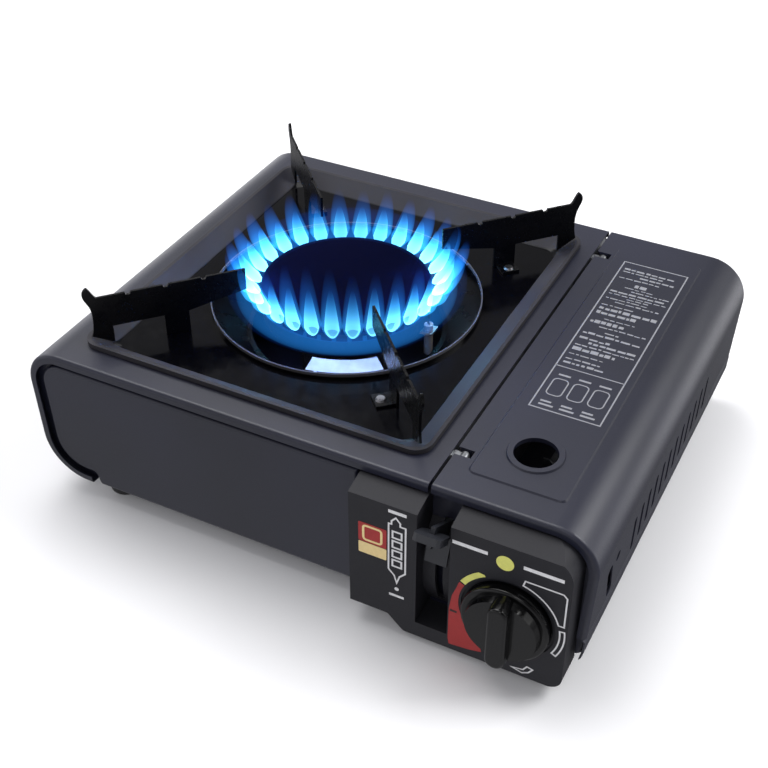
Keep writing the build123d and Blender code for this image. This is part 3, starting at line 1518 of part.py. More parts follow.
with BuildPart() as igniter_wire:
    with BuildLine() as wire_path:
        FilletPolyline(
            (wire_start_x, igniter_y + igniter_depth / 2, wire_z),
            (wire_start_x, wire_y, wire_z),
            (edge_x - wire_bend - 1.3, wire_y, wire_z),
            (edge_x - 21.3, wire_y + 40, wire_z - 16),
            (electrode_x + 15.35, burner_y - 14, ceramic_low - 14),
            (electrode_x, burner_y, ceramic_low - 13),
            (electrode_x, burner_y, ceramic_low),
            radius=[wire_bend, wire_bend, 20, 12, 5],
        )
    with BuildSketch(wire_path.line ^ 0):
        Circle(wire_radius)
    sweep()
save(igniter_wire.part, "igniter_wire")

with BuildPart() as wire_grommet:
    with BuildSketch(Plane.YZ.offset(edge_x - sheet)):
        with Locations((wire_y, wire_z)):
            Circle(grommet_radius - fit)
            Circle(wire_radius + fit, mode=Mode.SUBTRACT)
    extrude(amount=sheet)
    for x in (edge_x - 2 * sheet, edge_x):
        with BuildSketch(Plane.YZ.offset(x)):
            with Locations((wire_y, wire_z)):
                Circle(grommet_radius + 1.2)
                Circle(wire_radius + fit, mode=Mode.SUBTRACT)
        extrude(amount=sheet)
save(wire_grommet.part, "wire_grommet")

# -------------------------------------------------- control housing
housing_top = top_z - control_top_drop
face_top = housing_top - control_slope
housing_left = lid_left_x + control_left
housing_right = lid_left_x + control_right
housing_low_left = base_z + control_low_left
housing_low_right = base_z + control_low_right
housing_step = 22.0         # left side of the housing to the step in its lower edge
housing_slant = 9.0
step_left = housing_left + housing_step
step_right = step_left + housing_slant
shoulder_round = 14.0
lower_round = 8.0
channel_low = 14.0
floor_radius = 48.0         # curved floor of the lever channel, about the lever pivot
slit_low = 24.0
boss_outer = 4.2
wall_x0 = lid_left_x + channel_left
wall_x1 = wall_x0 + channel_width


def housing_line(inset):
    FilletPolyline(
        (housing_left + inset, housing_top - inset),
        (housing_right - inset, housing_top - inset),
        (housing_right - inset, housing_low_right + inset),
        (step_right + inset, housing_low_right + inset),
        (step_left + inset, housing_low_left + inset),
        (housing_left + inset, housing_low_left + inset),
        radius=[shoulder_round - inset, lower_round - inset, 3, 3],
    )
    Line((housing_left + inset, housing_low_left + inset), (housing_left + inset, housing_top - inset))


def slope_line(inset):
    """Wedge in the Y-Z plane, cut off over the sloping top."""
    drop = inset * hypot(control_proud, control_slope) / control_proud
    Polyline(
        (face_y - 1, face_top - drop - control_slope / control_proud),
        (front_y, housing_top - drop),
        (front_y, housing_top + 10),
        (face_y - 1, housing_top + 10),
        close=True,
    )


with BuildPart() as housing_room:
    with BuildSketch(Plane.XZ.offset(-panel_front - 1)):
        with BuildLine():
            housing_line(control_wall)
        make_face()
    extrude(amount=panel_front + 1 - face_y - control_wall)
    with BuildSketch(Plane.YZ.offset(left_x)):
        with BuildLine():
            slope_line(control_wall)
        make_face()
    extrude(amount=body_width, mode=Mode.SUBTRACT)
    with BuildSketch(Plane.XZ.offset(-panel_front - 1)):
        with Locations(((wall_x0 + wall_x1) / 2, base_z + body_height / 2)):
            Rectangle(channel_width + 2 * channel_wall, 2 * body_height)
        with Locations(*housing_spots):
            Circle(boss_outer)
    extrude(amount=2 * control_proud + panel_setback, mode=Mode.SUBTRACT)

with BuildPart() as control_housing:
    with BuildSketch(Plane.XZ.offset(-panel_front)):
        with BuildLine():
            housing_line(0)
        make_face()
    extrude(amount=panel_front - face_y)
    with BuildSketch(Plane.YZ.offset(left_x)):
        with BuildLine():
            slope_line(0)
        make_face()
    extrude(amount=body_width, mode=Mode.SUBTRACT)
    add(housing_room.part, mode=Mode.SUBTRACT)
    with BuildSketch(Plane.YZ.offset(wall_x0)):
        with Locations((face_y - 1, channel_low)):
            Rectangle(panel_front - face_y + 2, body_height, align=(Align.MIN, Align.MIN))
        with Locations((lever_y, lever_z)):
            Circle(floor_radius, mode=Mode.SUBTRACT)
    extrude(amount=channel_width, mode=Mode.SUBTRACT)
    with BuildSketch(Plane.YZ.offset(wall_x0)):
        with Locations((lever_y, lever_z)):
            Circle(floor_radius - control_wall)
        with Locations((face_y, channel_low)):
            Rectangle(panel_front - face_y + 1, body_height, align=(Align.MIN, Align.MIN),
                      mode=Mode.INTERSECT)
    extrude(amount=channel_width, mode=Mode.SUBTRACT)
    with BuildSketch(Plane.XZ.offset(-panel_front - 1)):
        with Locations((blade_x, slit_low)):
            Rectangle(lever_thickness + 2 * blade_slack, body_height, align=(Align.CENTER, Align.MIN))
    extrude(amount=panel_front - front_y + control_proud / 2, mode=Mode.SUBTRACT)
    with BuildSketch(Plane.XZ.offset(-face_y - dial_recess)):
        with Locations((knob_cx, knob_cz)):
            Circle(knob_radius + dial_slack)
    extrude(amount=2 * dial_recess, mode=Mode.SUBTRACT)
    with BuildSketch(Plane.XZ.offset(-panel_front)):
        with Locations((knob_cx, knob_cz)):
            Circle(shaft_radius + panel_hole_slack)
    extrude(amount=2 * control_proud + panel_setback, mode=Mode.SUBTRACT)
    with BuildSketch(Plane.XZ.offset(-panel_front)):
        with Locations(*housing_spots):
            Circle(screw_radius + screw_slack)
    extrude(amount=control_proud, mode=Mode.SUBTRACT)
save(control_housing.part, "control_housing")

with BuildPart() as housing_screws:
    with BuildSketch(Plane.XZ.offset(-panel_back - screw_head)):
        with Locations(*housing_spots):
            Circle(screw_head_radius)
    extrude(amount=screw_head)
    with BuildSketch(Plane.XZ.offset(-panel_back)):
        with Locations(*housing_spots):
            Circle(screw_radius)
    extrude(amount=control_proud - 2)
save(housing_screws.part, "housing_screws")
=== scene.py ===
# The look of a cassette gas stove: materials, printed marks, flames, floor, light and camera.
import math
import random

import bmesh
import bpy
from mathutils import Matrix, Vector


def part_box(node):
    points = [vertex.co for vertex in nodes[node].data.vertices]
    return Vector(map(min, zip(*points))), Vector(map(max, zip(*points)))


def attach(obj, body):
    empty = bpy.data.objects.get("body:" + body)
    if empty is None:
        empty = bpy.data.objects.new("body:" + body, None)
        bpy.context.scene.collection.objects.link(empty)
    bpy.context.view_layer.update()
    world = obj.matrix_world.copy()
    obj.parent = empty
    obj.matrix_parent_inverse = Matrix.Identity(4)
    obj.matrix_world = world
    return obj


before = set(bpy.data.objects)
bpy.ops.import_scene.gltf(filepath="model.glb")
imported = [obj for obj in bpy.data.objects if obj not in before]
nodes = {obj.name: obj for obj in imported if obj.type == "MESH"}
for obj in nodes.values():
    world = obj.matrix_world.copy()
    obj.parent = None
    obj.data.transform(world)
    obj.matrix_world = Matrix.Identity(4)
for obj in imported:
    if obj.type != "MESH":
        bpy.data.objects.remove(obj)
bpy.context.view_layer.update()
random.seed(7)

MM = 0.001


# ---------------------------------------------------------------- materials

SOCKETS = {
    "base": "Base Color",
    "rough": "Roughness",
    "metal": "Metallic",
    "level": "Specular IOR Level",
}


def rgb(red, green, blue):
    """A colour given as it looks on a screen, 0 to 255."""
    parts = [c / 255 for c in (red, green, blue)]
    return tuple(c / 12.92 if c <= 0.04045 else ((c + 0.055) / 1.055) ** 2.4 for c in parts) + (1.0,)


class Look:
    """A Principled material whose nodes are added one call at a time."""

    def __init__(self, name, **sockets):
        self.material = bpy.data.materials.new(name)
        self.material.use_nodes = True
        self.nodes = self.material.node_tree.nodes
        self.links = self.material.node_tree.links
        self.shader = self.nodes["Principled BSDF"]
        self.set(**sockets)
        self.place = self.nodes.new("ShaderNodeTexCoord").outputs["Object"]

    def feed(self, socket, value):
        if isinstance(value, bpy.types.NodeSocket):
            self.links.new(value, socket)
        else:
            socket.default_value = value

    def set(self, **sockets):
        for key, value in sockets.items():
            self.feed(self.shader.inputs[SOCKETS[key]], value)

    def source(self, key):
        """What feeds a socket of the shader now."""
        return self.shader.inputs[SOCKETS[key]].links[0].from_socket

    def add(self, kind, out=0, settings=(), **inputs):
        node = self.nodes.new("ShaderNode" + kind)
        for key, value in dict(settings).items():
            setattr(node, key, value)
        for key, value in inputs.items():
            self.feed(node.inputs[int(key[1:]) if key[0] == "_" else key], value)
        return node.outputs[out]

    def noise(self, scale, detail, rough=0.5):
        return self.add("TexNoise", Vector=self.place, Scale=scale, Detail=detail, Roughness=rough)

    def ramp(self, source, low, high, start=0.0, end=1.0):
        """A number that runs from start to end while the source runs from low to high."""
        return self.add("MapRange", _0=source, _1=low, _2=high, _3=start, _4=end)

    def math(self, operation, a, b=0.0):
        return self.add("Math", settings={"operation": operation}, _0=a, _1=b)

    def mix(self, amount, a, b):
        node = self.nodes.new("ShaderNodeMix")
        node.data_type = "RGBA"
        for index, value in ((0, amount), (6, a), (7, b)):
            self.feed(node.inputs[index], value)
        return node.outputs[2]

    def axis(self, letter):
        return self.add("SeparateXYZ", out="XYZ".index(letter), Vector=self.place)

    def bump(self, height, depth, strength):
        normal = self.add("Bump", Height=height, Distance=depth, Strength=strength)
        self.feed(self.shader.inputs["Normal"], normal)


def painted(name, base, light, rough, grain=1400.0, depth=0.00004, level=0.5):
    """Powder coat, enamel or plastic: fine orange peel and a slow drift in shade."""
    look = Look(name, level=level)
    drift = look.ramp(look.noise(9.0, 2.0), 0.35, 0.65)
    look.set(base=look.mix(drift, rgb(*base), rgb(*light)))
    peel = look.noise(grain, 2.0, 0.6)
    look.set(rough=look.ramp(peel, 0.3, 0.7, rough - 0.05, rough + 0.07))
    look.bump(peel, depth, 0.6)
    return look


def metal(name, base, dark, rough, grain=260.0, depth=0.00002, share=1.0):
    """Bare metal: a fine grain and a few dull patches. share is how metallic it looks."""
    look = Look(name, metal=share)
    patch = look.ramp(look.noise(38.0, 4.0, 0.6), 0.4, 0.7)
    look.set(base=look.mix(patch, rgb(*base), rgb(*dark)))
    fine = look.noise(grain, 4.0, 0.65)
    look.set(rough=look.ramp(fine, 0.3, 0.7, rough - 0.08, rough + 0.12))
    look.bump(fine, depth, 0.5)
    return look


def printed(name, base, rough=0.45):
    """Printing ink: a little uneven in cover, with the grain of the paint beneath."""
    look = Look(name, level=0.4)
    ink = rgb(*base)
    worn = tuple(c * 0.86 for c in ink[:3]) + (1.0,)
    cover = look.ramp(look.noise(420.0, 4.0, 0.7), 0.35, 0.75)
    look.set(base=look.mix(cover, ink, worn))
    peel = look.noise(1800.0, 2.0, 0.6)
    look.set(rough=look.ramp(peel, 0.3, 0.7, rough - 0.06, rough + 0.08))
    look.bump(peel, 0.00003, 0.5)
    return look


# the arguments of painted() after the name
PAINTS = {
    "body_paint": ((22, 24, 38), (27, 29, 46), 0.4),
    "tray_enamel": ((2, 2, 4), (4, 4, 6), 0.14, 120.0, 0.00003, 0.14),
    "well_enamel": ((3, 3, 4), (5, 5, 6), 0.3, 120.0, 0.00004, 0.06),
    "support_steel": ((3, 3, 4), (6, 6, 7), 0.28, 240.0, 0.00005, 0.2),
    "housing_plastic": ((29, 29, 33), (34, 34, 39), 0.55, 2200.0, 0.00003, 0.25),
    "knob_plastic": ((3, 3, 4), (5, 5, 6), 0.16, 260.0, 0.00002, 0.35),
    "lever_steel": ((30, 31, 36), (38, 40, 46), 0.42),
    # a dark metal cap; its navy blue tint is painted light, in place of the flames' blue glow on it
    "burner_cap_metal": ((10, 12, 34), (6, 7, 22), 0.7, 420.0, 0.00006, 0.0),
    "foot_rubber": ((12, 12, 13), (18, 18, 19), 0.75, 900.0, 0.0001),
    "seal_rubber": ((14, 14, 15), (24, 24, 25), 0.7, 900.0, 0.0001),
    "wire_rubber": ((16, 16, 17), (24, 24, 26), 0.55, 900.0, 0.00005),
    "igniter_plastic": ((20, 20, 22), (27, 27, 30), 0.4, 1800.0, 0.00003),
    "white_ceramic": ((128, 122, 112), (92, 86, 78), 0.4, 500.0, 0.00006),
}
# the arguments of metal() after the name
METALS = {
    "pan_steel": ((150, 152, 155), (110, 112, 116), 0.42),
    "inner_steel": ((158, 160, 164), (120, 122, 126), 0.38),
    "screw_steel": ((160, 160, 164), (110, 110, 114), 0.3),
    "burner_alloy": ((40, 38, 42), (24, 22, 24), 0.55, 420.0, 0.00006),
    "brass": ((196, 164, 96), (140, 108, 60), 0.3),
    "cast_zinc": ((168, 170, 172), (128, 130, 134), 0.45, 300.0, 0.00008),
    "heat_aluminium": ((166, 168, 176), (128, 130, 140), 0.45, 260.0, 0.00002, 0.2),
}
looks = {name: painted(name, *values) for name, values in PAINTS.items()}
looks.update({name: metal(name, *values) for name, values in METALS.items()})

TRAY_BORDER = 0.0125           # width of the stamped border round the tray's floor
TRAY_HOLE = 0.079              # radius of the hole in the tray
# the border's paler grey is painted sheen, in place of the reflection on its sloping glossy black enamel
BORDER_SHEEN_DARK = (46, 45, 49)
BORDER_SHEEN_PALE = (56, 55, 59)
BORDER_ROUGH = 0.5
# a painted highlight on the rim of the hole, where its lip would catch the light
RIM_HIGHLIGHT = (74, 73, 76)
RIM_NEAR = 0.0011              # the painted highlight on the hole's rim ends between these distances from the hole
RIM_FAR = 0.0016
RIM_LOW = 0.0018               # and starts between these heights above the underside
RIM_HIGH = 0.0026


def paint_tray_sheen(look):
    """The tray's border is duller than its floor and painted paler as sheen, and the rim of its hole has a
    painted highlight.
    """
    low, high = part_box("drip_tray")
    middle = (low + high) / 2
    across = look.math("SUBTRACT", look.axis("X"), middle.x)
    along = look.math("SUBTRACT", look.axis("Y"), middle.y)
    outward = look.math(
        "MAXIMUM",
        look.math("SUBTRACT", look.math("ABSOLUTE", across), (high.x - low.x) / 2),
        look.math("SUBTRACT", look.math("ABSOLUTE", along), (high.y - low.y) / 2),
    )
    border = look.ramp(outward, -TRAY_BORDER - 0.0004, -TRAY_BORDER + 0.0008)
    squares = look.math("ADD", look.math("POWER", across, 2.0), look.math("POWER", along, 2.0))
    reach = look.math("SQRT", squares)
    # painted highlight: a lighter grey ring on the hole's lip
    rim = look.math(
        "MULTIPLY",
        look.ramp(reach, TRAY_HOLE + RIM_FAR, TRAY_HOLE + RIM_NEAR),
        look.ramp(look.axis("Z"), low.z + RIM_LOW, low.z + RIM_HIGH),
    )
    # painted sheen: the border is painted a paler grey than the black floor
    drift = look.ramp(look.noise(16.0, 3.0), 0.3, 0.7)
    border_sheen = look.mix(drift, rgb(*BORDER_SHEEN_DARK), rgb(*BORDER_SHEEN_PALE))
    enamel = look.mix(border, look.source("base"), border_sheen)
    look.set(
        base=look.mix(rim, enamel, rgb(*RIM_HIGHLIGHT)),
        rough=look.ramp(border, 0.0, 1.0, look.source("rough"), BORDER_ROUGH),
    )


paint_tray_sheen(looks["tray_enamel"])

for piece in nodes.values():
    for material_slot in piece.material_slots:
        material_slot.material = looks[material_slot.material.name].material


# ---------------------------------------------------------------- helpers for small pieces

def link_piece(name, mesh, material):
    mesh.materials.append(material)
    piece = bpy.data.objects.new(name, mesh)
    bpy.context.scene.collection.objects.link(piece)
    return piece


def form_mesh(name, form):
    mesh = bpy.data.meshes.new(name)
    form.to_mesh(mesh)
    form.free()
    return mesh


INK_THICK = 0.00012
INK_OVER = 0.0002              # ink printed on other ink
INK_THIN = 0.00008


def flat_piece(name, outlines, place, ink, body, thick):
    """Thin solid marks, one for each outline of (u, v) points in mm.

    place turns (u, v, out) in metres into a point.
    """
    form = bmesh.new()
    for outline in outlines:
        count = len(outline)
        low = [form.verts.new(place(u * MM, v * MM, -thick / 2)) for u, v in outline]
        high = [form.verts.new(place(u * MM, v * MM, thick)) for u, v in outline]
        form.faces.new(high)
        form.faces.new(low[::-1])
        for i in range(count):
            j = (i + 1) % count
            form.faces.new((low[i], low[j], high[j], high[i]))
    bmesh.ops.recalc_face_normals(form, faces=form.faces)
    piece = link_piece(name, form_mesh(name, form), ink.material)
    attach(piece, body)


def arc(radius, start, end, centre=(0, 0), steps=24):
    angles = [math.radians(start + (end - start) * i / steps) for i in range(steps + 1)]
    return [(centre[0] + radius * math.cos(a), centre[1] + radius * math.sin(a)) for a in angles]


def disc(radius, centre, steps):
    return arc(radius, 0, 360, centre, steps)[:-1]


def bar(u0, v0, u1, v1):
    return [(u0, v0), (u1, v0), (u1, v1), (u0, v1)]


def rounded(u0, v0, u1, v1, radius, steps=5):
    corners = (
        (u1 - radius, v1 - radius, 0),
        (u0 + radius, v1 - radius, 90),
        (u0 + radius, v0 + radius, 180),
        (u1 - radius, v0 + radius, 270),
    )
    return [point for u, v, turn in corners for point in arc(radius, turn, turn + 90, (u, v), steps)]


SHARPEST = 0.35                # limits how far a mitre reaches out of a sharp corner


def strokes(points, width):
    """A closed outline drawn as one quad for each side, mitred where the sides meet."""
    count = len(points)
    inner, outer = [], []
    for i, (u, v) in enumerate(points):
        before = points[i - 1]
        after = points[(i + 1) % count]
        a = Vector((u - before[0], v - before[1]))
        b = Vector((after[0] - u, after[1] - v))
        a = a.normalized() if a.length else b.normalized()
        b = b.normalized() if b.length else a
        across = Vector((-a.y - b.y, a.x + b.x)).normalized()
        reach = width / 2 / max(SHARPEST, across.dot(Vector((-b.y, b.x))))
        inner.append((u - across.x * reach, v - across.y * reach))
        outer.append((u + across.x * reach, v + across.y * reach))
    quads = []
    for i in range(count):
        j = (i + 1) % count
        quads.append([inner[i], inner[j], outer[j], outer[i]])
    return quads


# ---------------------------------------------------------------- printed marks

white_ink = printed("white_ink", (214, 214, 216))
grey_ink = printed("grey_ink", (138, 139, 144))
red_ink = printed("red_ink", (158, 34, 34))
cream_ink = printed("cream_ink", (224, 200, 142))
lime_ink = printed("lime_ink", (214, 214, 110))
dark_ink = printed("dark_ink", (34, 24, 26))

housing_low, housing_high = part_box("control_housing")
lid_low, lid_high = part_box("cartridge_lid")
knob_low, knob_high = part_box("knob")
knob_middle = (knob_low + knob_high) / 2
FACE_Y = housing_low.y


def on_dial(u, v, out):
    """Right and up from the middle of the knob, on the housing's face."""
    return Vector((knob_middle.x + u, FACE_Y - out, knob_middle.z + v))


def on_housing(u, v, out):
    """Right from the housing's left side and up from the floor, on the housing's face."""
    return Vector((housing_low.x + u, FACE_Y - out, v))


def housing_mark(name, outlines, place, ink, thick=INK_THICK):
    flat_piece(name, outlines, place, ink, "body", thick)


# round the knob, in mm
DIAL = 26.4                    # inner radius of the marks
FINE_LINE = 0.8
housing_mark("dial_bars", [bar(-31.0, 38.2, -12.5, 40.4), bar(6.0, 37.2, 26.5, 39.4)], on_dial, white_ink)
housing_mark("dial_oval", [disc(4.6, (-3.4, 36.8), 32)], on_dial, lime_ink)
low_mark = arc(DIAL, 151, 119) + arc(DIAL + 1.2, 119, 119)[:1] + arc(DIAL + 3.2, 124, 151)
housing_mark("dial_low_mark", [low_mark], on_dial, lime_ink)
high_mark = arc(DIAL, 153, 236)
high_mark += [(-12.5, -31.5), (-20.0, -33.2), (-30.6, -34.2)]
high_mark += [(-31.3, -30.0), (-31.3, -8.0), (-30.0, 2.0), (-27.4, 9.6)]
high_mark += arc(DIAL + 3.0, 156, 153, steps=2)
housing_mark("dial_high_mark", [high_mark], on_dial, red_ink)
housing_mark("dial_tick", [bar(-30.8, -9.6, -26.9, -8.2)], on_dial, dark_ink, INK_OVER)
wedge = arc(DIAL + 0.8, 76, 17, steps=14) + [(28.9, 8.0), (28.9, 27.8), (27.0, 29.8), (7.5, 29.8)]
side_bar = arc(DIAL + 0.9, 9, -28, steps=12) + arc(DIAL + 3.4, -28, 9, steps=12)
pointer = [(4.5, -33.6), (10.5, -32.6), (12.5, -29.4), (15.6, -30.2), (13.4, -33.4), (10.0, -35.2)]
dial_outlines = [quad for outline in (wedge, side_bar, pointer) for quad in strokes(outline, FINE_LINE)]
housing_mark("dial_outlines", dial_outlines, on_dial, white_ink)

# the block and the column at the left of the lever, in mm
housing_mark("block_red", [rounded(5.6, 59.5, 21.4, 72.5, 0.6)], on_housing, red_ink)
housing_mark("block_cream", [rounded(5.6, 51.5, 21.4, 59.1, 0.6)], on_housing, cream_ink)
block_frame = strokes(rounded(8.4, 61.2, 18.6, 70.8, 1.6), 1.3)
housing_mark("block_frame", block_frame, on_housing, cream_ink, INK_OVER)
CELLS = 4
CELL_PITCH = 6.6
column = [(22.6, 46.5), (22.6, 78.2), (24.2, 78.2), (24.2, 80.4), (26.6, 83.2), (29.0, 80.4)]
column += [(29.0, 78.2), (32.0, 78.2), (32.0, 46.5), (28.8, 43.0), (27.3, 38.0), (25.8, 43.0)]
column_marks = strokes(column, 0.9)
for cell in range(CELLS):
    rise = CELL_PITCH * cell
    column_marks += strokes(bar(24.8, 49.5 + rise, 29.8, 53.9 + rise), 1.0)
column_marks += [disc(1.2, (27.3, 33.5), 16), bar(23.0, 27.6, 31.4, 29.2), bar(22.4, 85.6, 32.4, 87.6)]
housing_mark("column_marks", column_marks, on_housing, white_ink)

# the label on the lid, in mm: a frame, rows of bars in its rear part and three pictures in front of them
LABEL_FIELD = 0.0688           # metres from the bottom of the lid to its raised field
LABEL_LEFT, LABEL_RIGHT = 19.0, 58.0
LABEL_FRONT, LABEL_REAR = 79.0, 234.0
DIVIDER = 118.0
ROW_MARGIN = 4.0
ROW_END = 5.0
ROW_HEIGHTS = (1.0, 1.3, 2.0, 3.2)
ROW_STARTS = (2.5, 2.5, 2.5, 9.0, 14.0)
ROW_ENDS = (2.5, 2.5, 4.0, 12.0, 17.0)
ROW_GAPS = (1.6, 2.0, 3.6)
SHORTEST_BAR = 1.5
LONGEST_BAR = 5.5
PICTURES = 3
PICTURE_PITCH = 11.5
FIRST_PICTURE = 8.0


def on_lid(u, v, out):
    """Right from the lid's left edge and back from its front edge, on the raised field."""
    return Vector((lid_low.x + u, lid_low.y + v, lid_low.z + LABEL_FIELD + out))


label_marks = strokes(bar(LABEL_LEFT, LABEL_FRONT, LABEL_RIGHT, LABEL_REAR), FINE_LINE)
label_marks.append(bar(LABEL_LEFT, DIVIDER - 0.35, LABEL_RIGHT, DIVIDER + 0.35))
row = DIVIDER + ROW_MARGIN
while row < LABEL_REAR - ROW_END:
    tall = random.choice(ROW_HEIGHTS)
    start = LABEL_LEFT + random.choice(ROW_STARTS)
    reach = LABEL_RIGHT - random.choice(ROW_ENDS)
    while start < reach - SHORTEST_BAR:
        stop = min(reach, start + random.uniform(SHORTEST_BAR, LONGEST_BAR))
        low = row + random.uniform(0.0, 0.4)
        label_marks.append(bar(start, low, stop, low + tall * random.uniform(0.6, 1.0)))
        start = stop + random.uniform(0.5, 1.2)
    row += tall + random.choice(ROW_GAPS)
for number in range(PICTURES):
    u = LABEL_LEFT + FIRST_PICTURE + PICTURE_PITCH * number
    v = LABEL_FRONT
    label_marks += strokes(rounded(u - 4.2, v + 13, u + 4.2, v + 28, 2.6, 4), 0.7)
    label_marks.append(bar(u - 3.4, v + 31, u + 3.4, v + 32.4))
    label_marks.append(bar(u - 4.2, v + 3, u + 3.8, v + 4.4))
    label_marks.append(bar(u - 4.2, v + 6, u + 1.8, v + 7.4))
flat_piece("label_marks", label_marks, on_lid, grey_ink, "lid", INK_THIN)


# ---------------------------------------------------------------- flames, which aren't part of the object

burner_low, burner_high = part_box("burner_ring")
burner_middle = (burner_low + burner_high) / 2
PORT_RADIUS = (burner_high.x - burner_low.x) / 2 * 1.01
PORT_Z = burner_high.z - 0.002
FLAMES = 28
VIEW_TURN = math.radians(-63.0)    # the ports nearest the camera
NEAR_CHANGE = 0.75                 # flames near the camera lean less and stand taller by this share
SIDE_LIGHT = 2.4                   # more light from the flames left and right of the view
WOBBLE = 0.06                      # flames differ from one another by up to this share


def flame_look(name, stops, middle, rim, strength):
    """Glowing gas that only adds light.

    Colour and strength run along the flame through the stops, each (place, colour, power), and
    the strength varies from the flame's middle to its rim.
    """
    look = bpy.data.materials.new(name)
    look.use_nodes = True
    tree = look.node_tree
    tree.nodes.clear()

    def add(kind):
        return tree.nodes.new("ShaderNode" + kind)

    def product(a, b):
        node = add("Math")
        node.operation = "MULTIPLY"
        tree.links.new(a, node.inputs[0])
        tree.links.new(b, node.inputs[1])
        return node.outputs[0]

    def vertex_value(attribute):
        node = add("Attribute")
        node.attribute_name = attribute
        return node.outputs["Fac"]

    colour = add("ValToRGB")
    tree.links.new(vertex_value("run"), colour.inputs["Fac"])
    marks = colour.color_ramp.elements
    marks.remove(marks[1])
    marks[0].position = stops[0][0]
    for place, _, _ in stops[1:]:
        marks.new(place)
    for mark, (_, shade, power) in zip(marks, stops):
        mark.color = rgb(*shade)[:3] + (power,)
    facing = add("LayerWeight")
    facing.inputs["Blend"].default_value = 0.5
    edge = add("MapRange")
    tree.links.new(facing.outputs["Facing"], edge.inputs[0])
    edge.inputs[3].default_value = middle * strength
    edge.inputs[4].default_value = rim * strength
    power = product(product(edge.outputs[0], colour.outputs["Alpha"]), vertex_value("share"))
    glow = add("Emission")
    tree.links.new(power, glow.inputs["Strength"])
    tree.links.new(colour.outputs["Color"], glow.inputs["Color"])
    both = add("AddShader")
    tree.links.new(add("BsdfTransparent").outputs[0], both.inputs[0])
    tree.links.new(glow.outputs[0], both.inputs[1])
    tree.links.new(both.outputs[0], add("OutputMaterial").inputs["Surface"])
    return look


def flame_shell(name, look, loops, closed=False, sides=0.0):
    """Rings of points joined into tubes. Each loop is a list of (run, ring).

    sides adds light left and right of the view.
    """
    form = bmesh.new()
    run = form.verts.layers.float.new("run")
    share = form.verts.layers.float.new("share")
    for loop in loops:
        rings = []
        for along, ring in loop:
            verts = [form.verts.new(point) for point in ring]
            for vert in verts:
                turn = math.atan2(vert.co.y - burner_middle.y, vert.co.x - burner_middle.x)
                vert[run] = along
                vert[share] = 1 + sides * math.sin(turn - VIEW_TURN) ** 2
            rings.append(verts)
        pairs = list(zip(rings, rings[1:]))
        if closed:
            pairs.append((rings[-1], rings[0]))
        for low, high in pairs:
            for m in range(len(low)):
                n = (m + 1) % len(low)
                form.faces.new((low[m], low[n], high[n], high[m]))
    mesh = form_mesh(name, form)
    for face in mesh.polygons:
        face.use_smooth = True
    piece = link_piece(name, mesh, look)


def over_burner(height):
    return Vector((burner_middle.x, burner_middle.y, height))


def round_turns(count):
    return [2 * math.pi * i / count for i in range(count)]


def tongues(name, look, out, rise, width, blunt):
    """A ring of flame tongues. Each is a round shell along a spine that leans outward, then rises."""
    steps, sides = 20, 14
    loops = []
    for i in range(FLAMES):
        turn = 2 * math.pi * (i + 0.5) / FLAMES
        near = max(0.0, math.cos(turn - VIEW_TURN))
        lean = out * (1 - NEAR_CHANGE * near) * (1 + random.uniform(-WOBBLE, WOBBLE))
        tall = rise * (1 + NEAR_CHANGE * near) * (1 + random.uniform(-WOBBLE, WOBBLE))
        drift = random.uniform(-WOBBLE, WOBBLE) * 0.03
        loop = []
        for k in range(steps + 1):
            t = k / steps
            reach = PORT_RADIUS + lean * (1 - (1 - t) ** 1.8)
            height = PORT_Z + tall * t ** 1.25
            size = width * max(0.02, min(1.0, 4.0 * t) ** 0.6 * (1 - t ** blunt) ** 0.7 * (1 - 0.2 * t))
            bend = turn + drift * t
            outward = Vector((math.cos(bend), math.sin(bend), 0))
            sideways = Vector((-math.sin(bend), math.cos(bend), 0))
            centre = over_burner(height) + outward * reach
            spine = (outward * lean * (1 - t) + Vector((0, 0, tall))).normalized()
            depth = sideways.cross(spine)
            ring = []
            for a in round_turns(sides):
                ring.append(centre + (sideways * math.cos(a) + depth * 0.8 * math.sin(a)) * size)
            loop.append((t, ring))
        loops.append(loop)
    flame_shell(name, look, loops, sides=SIDE_LIGHT)


def glow_ring(name, look, out, over, wide, tall):
    """A soft ring of light around the ports. Its centre lies out and over from them."""
    loop = []
    for turn in round_turns(96):
        outward = Vector((math.cos(turn), math.sin(turn), 0))
        ring = []
        for a in round_turns(20):
            reach = PORT_RADIUS + out + wide * math.cos(a)
            ring.append(outward * reach + over_burner(PORT_Z + over + tall * math.sin(a)))
        loop.append((0.5, ring))
    flame_shell(name, look, [loop], closed=True)


def veil(name, look, profile):
    """A thin curtain of light round the burner. profile is (distance out, height) in metres."""
    loop = []
    for k, (out, height) in enumerate(profile):
        reach = PORT_RADIUS + out
        ring = []
        for a in round_turns(96):
            outward = Vector((math.cos(a), math.sin(a), 0))
            ring.append(over_burner(PORT_Z + height) + outward * reach)
        loop.append((k / (len(profile) - 1), ring))
    flame_shell(name, look, [loop])


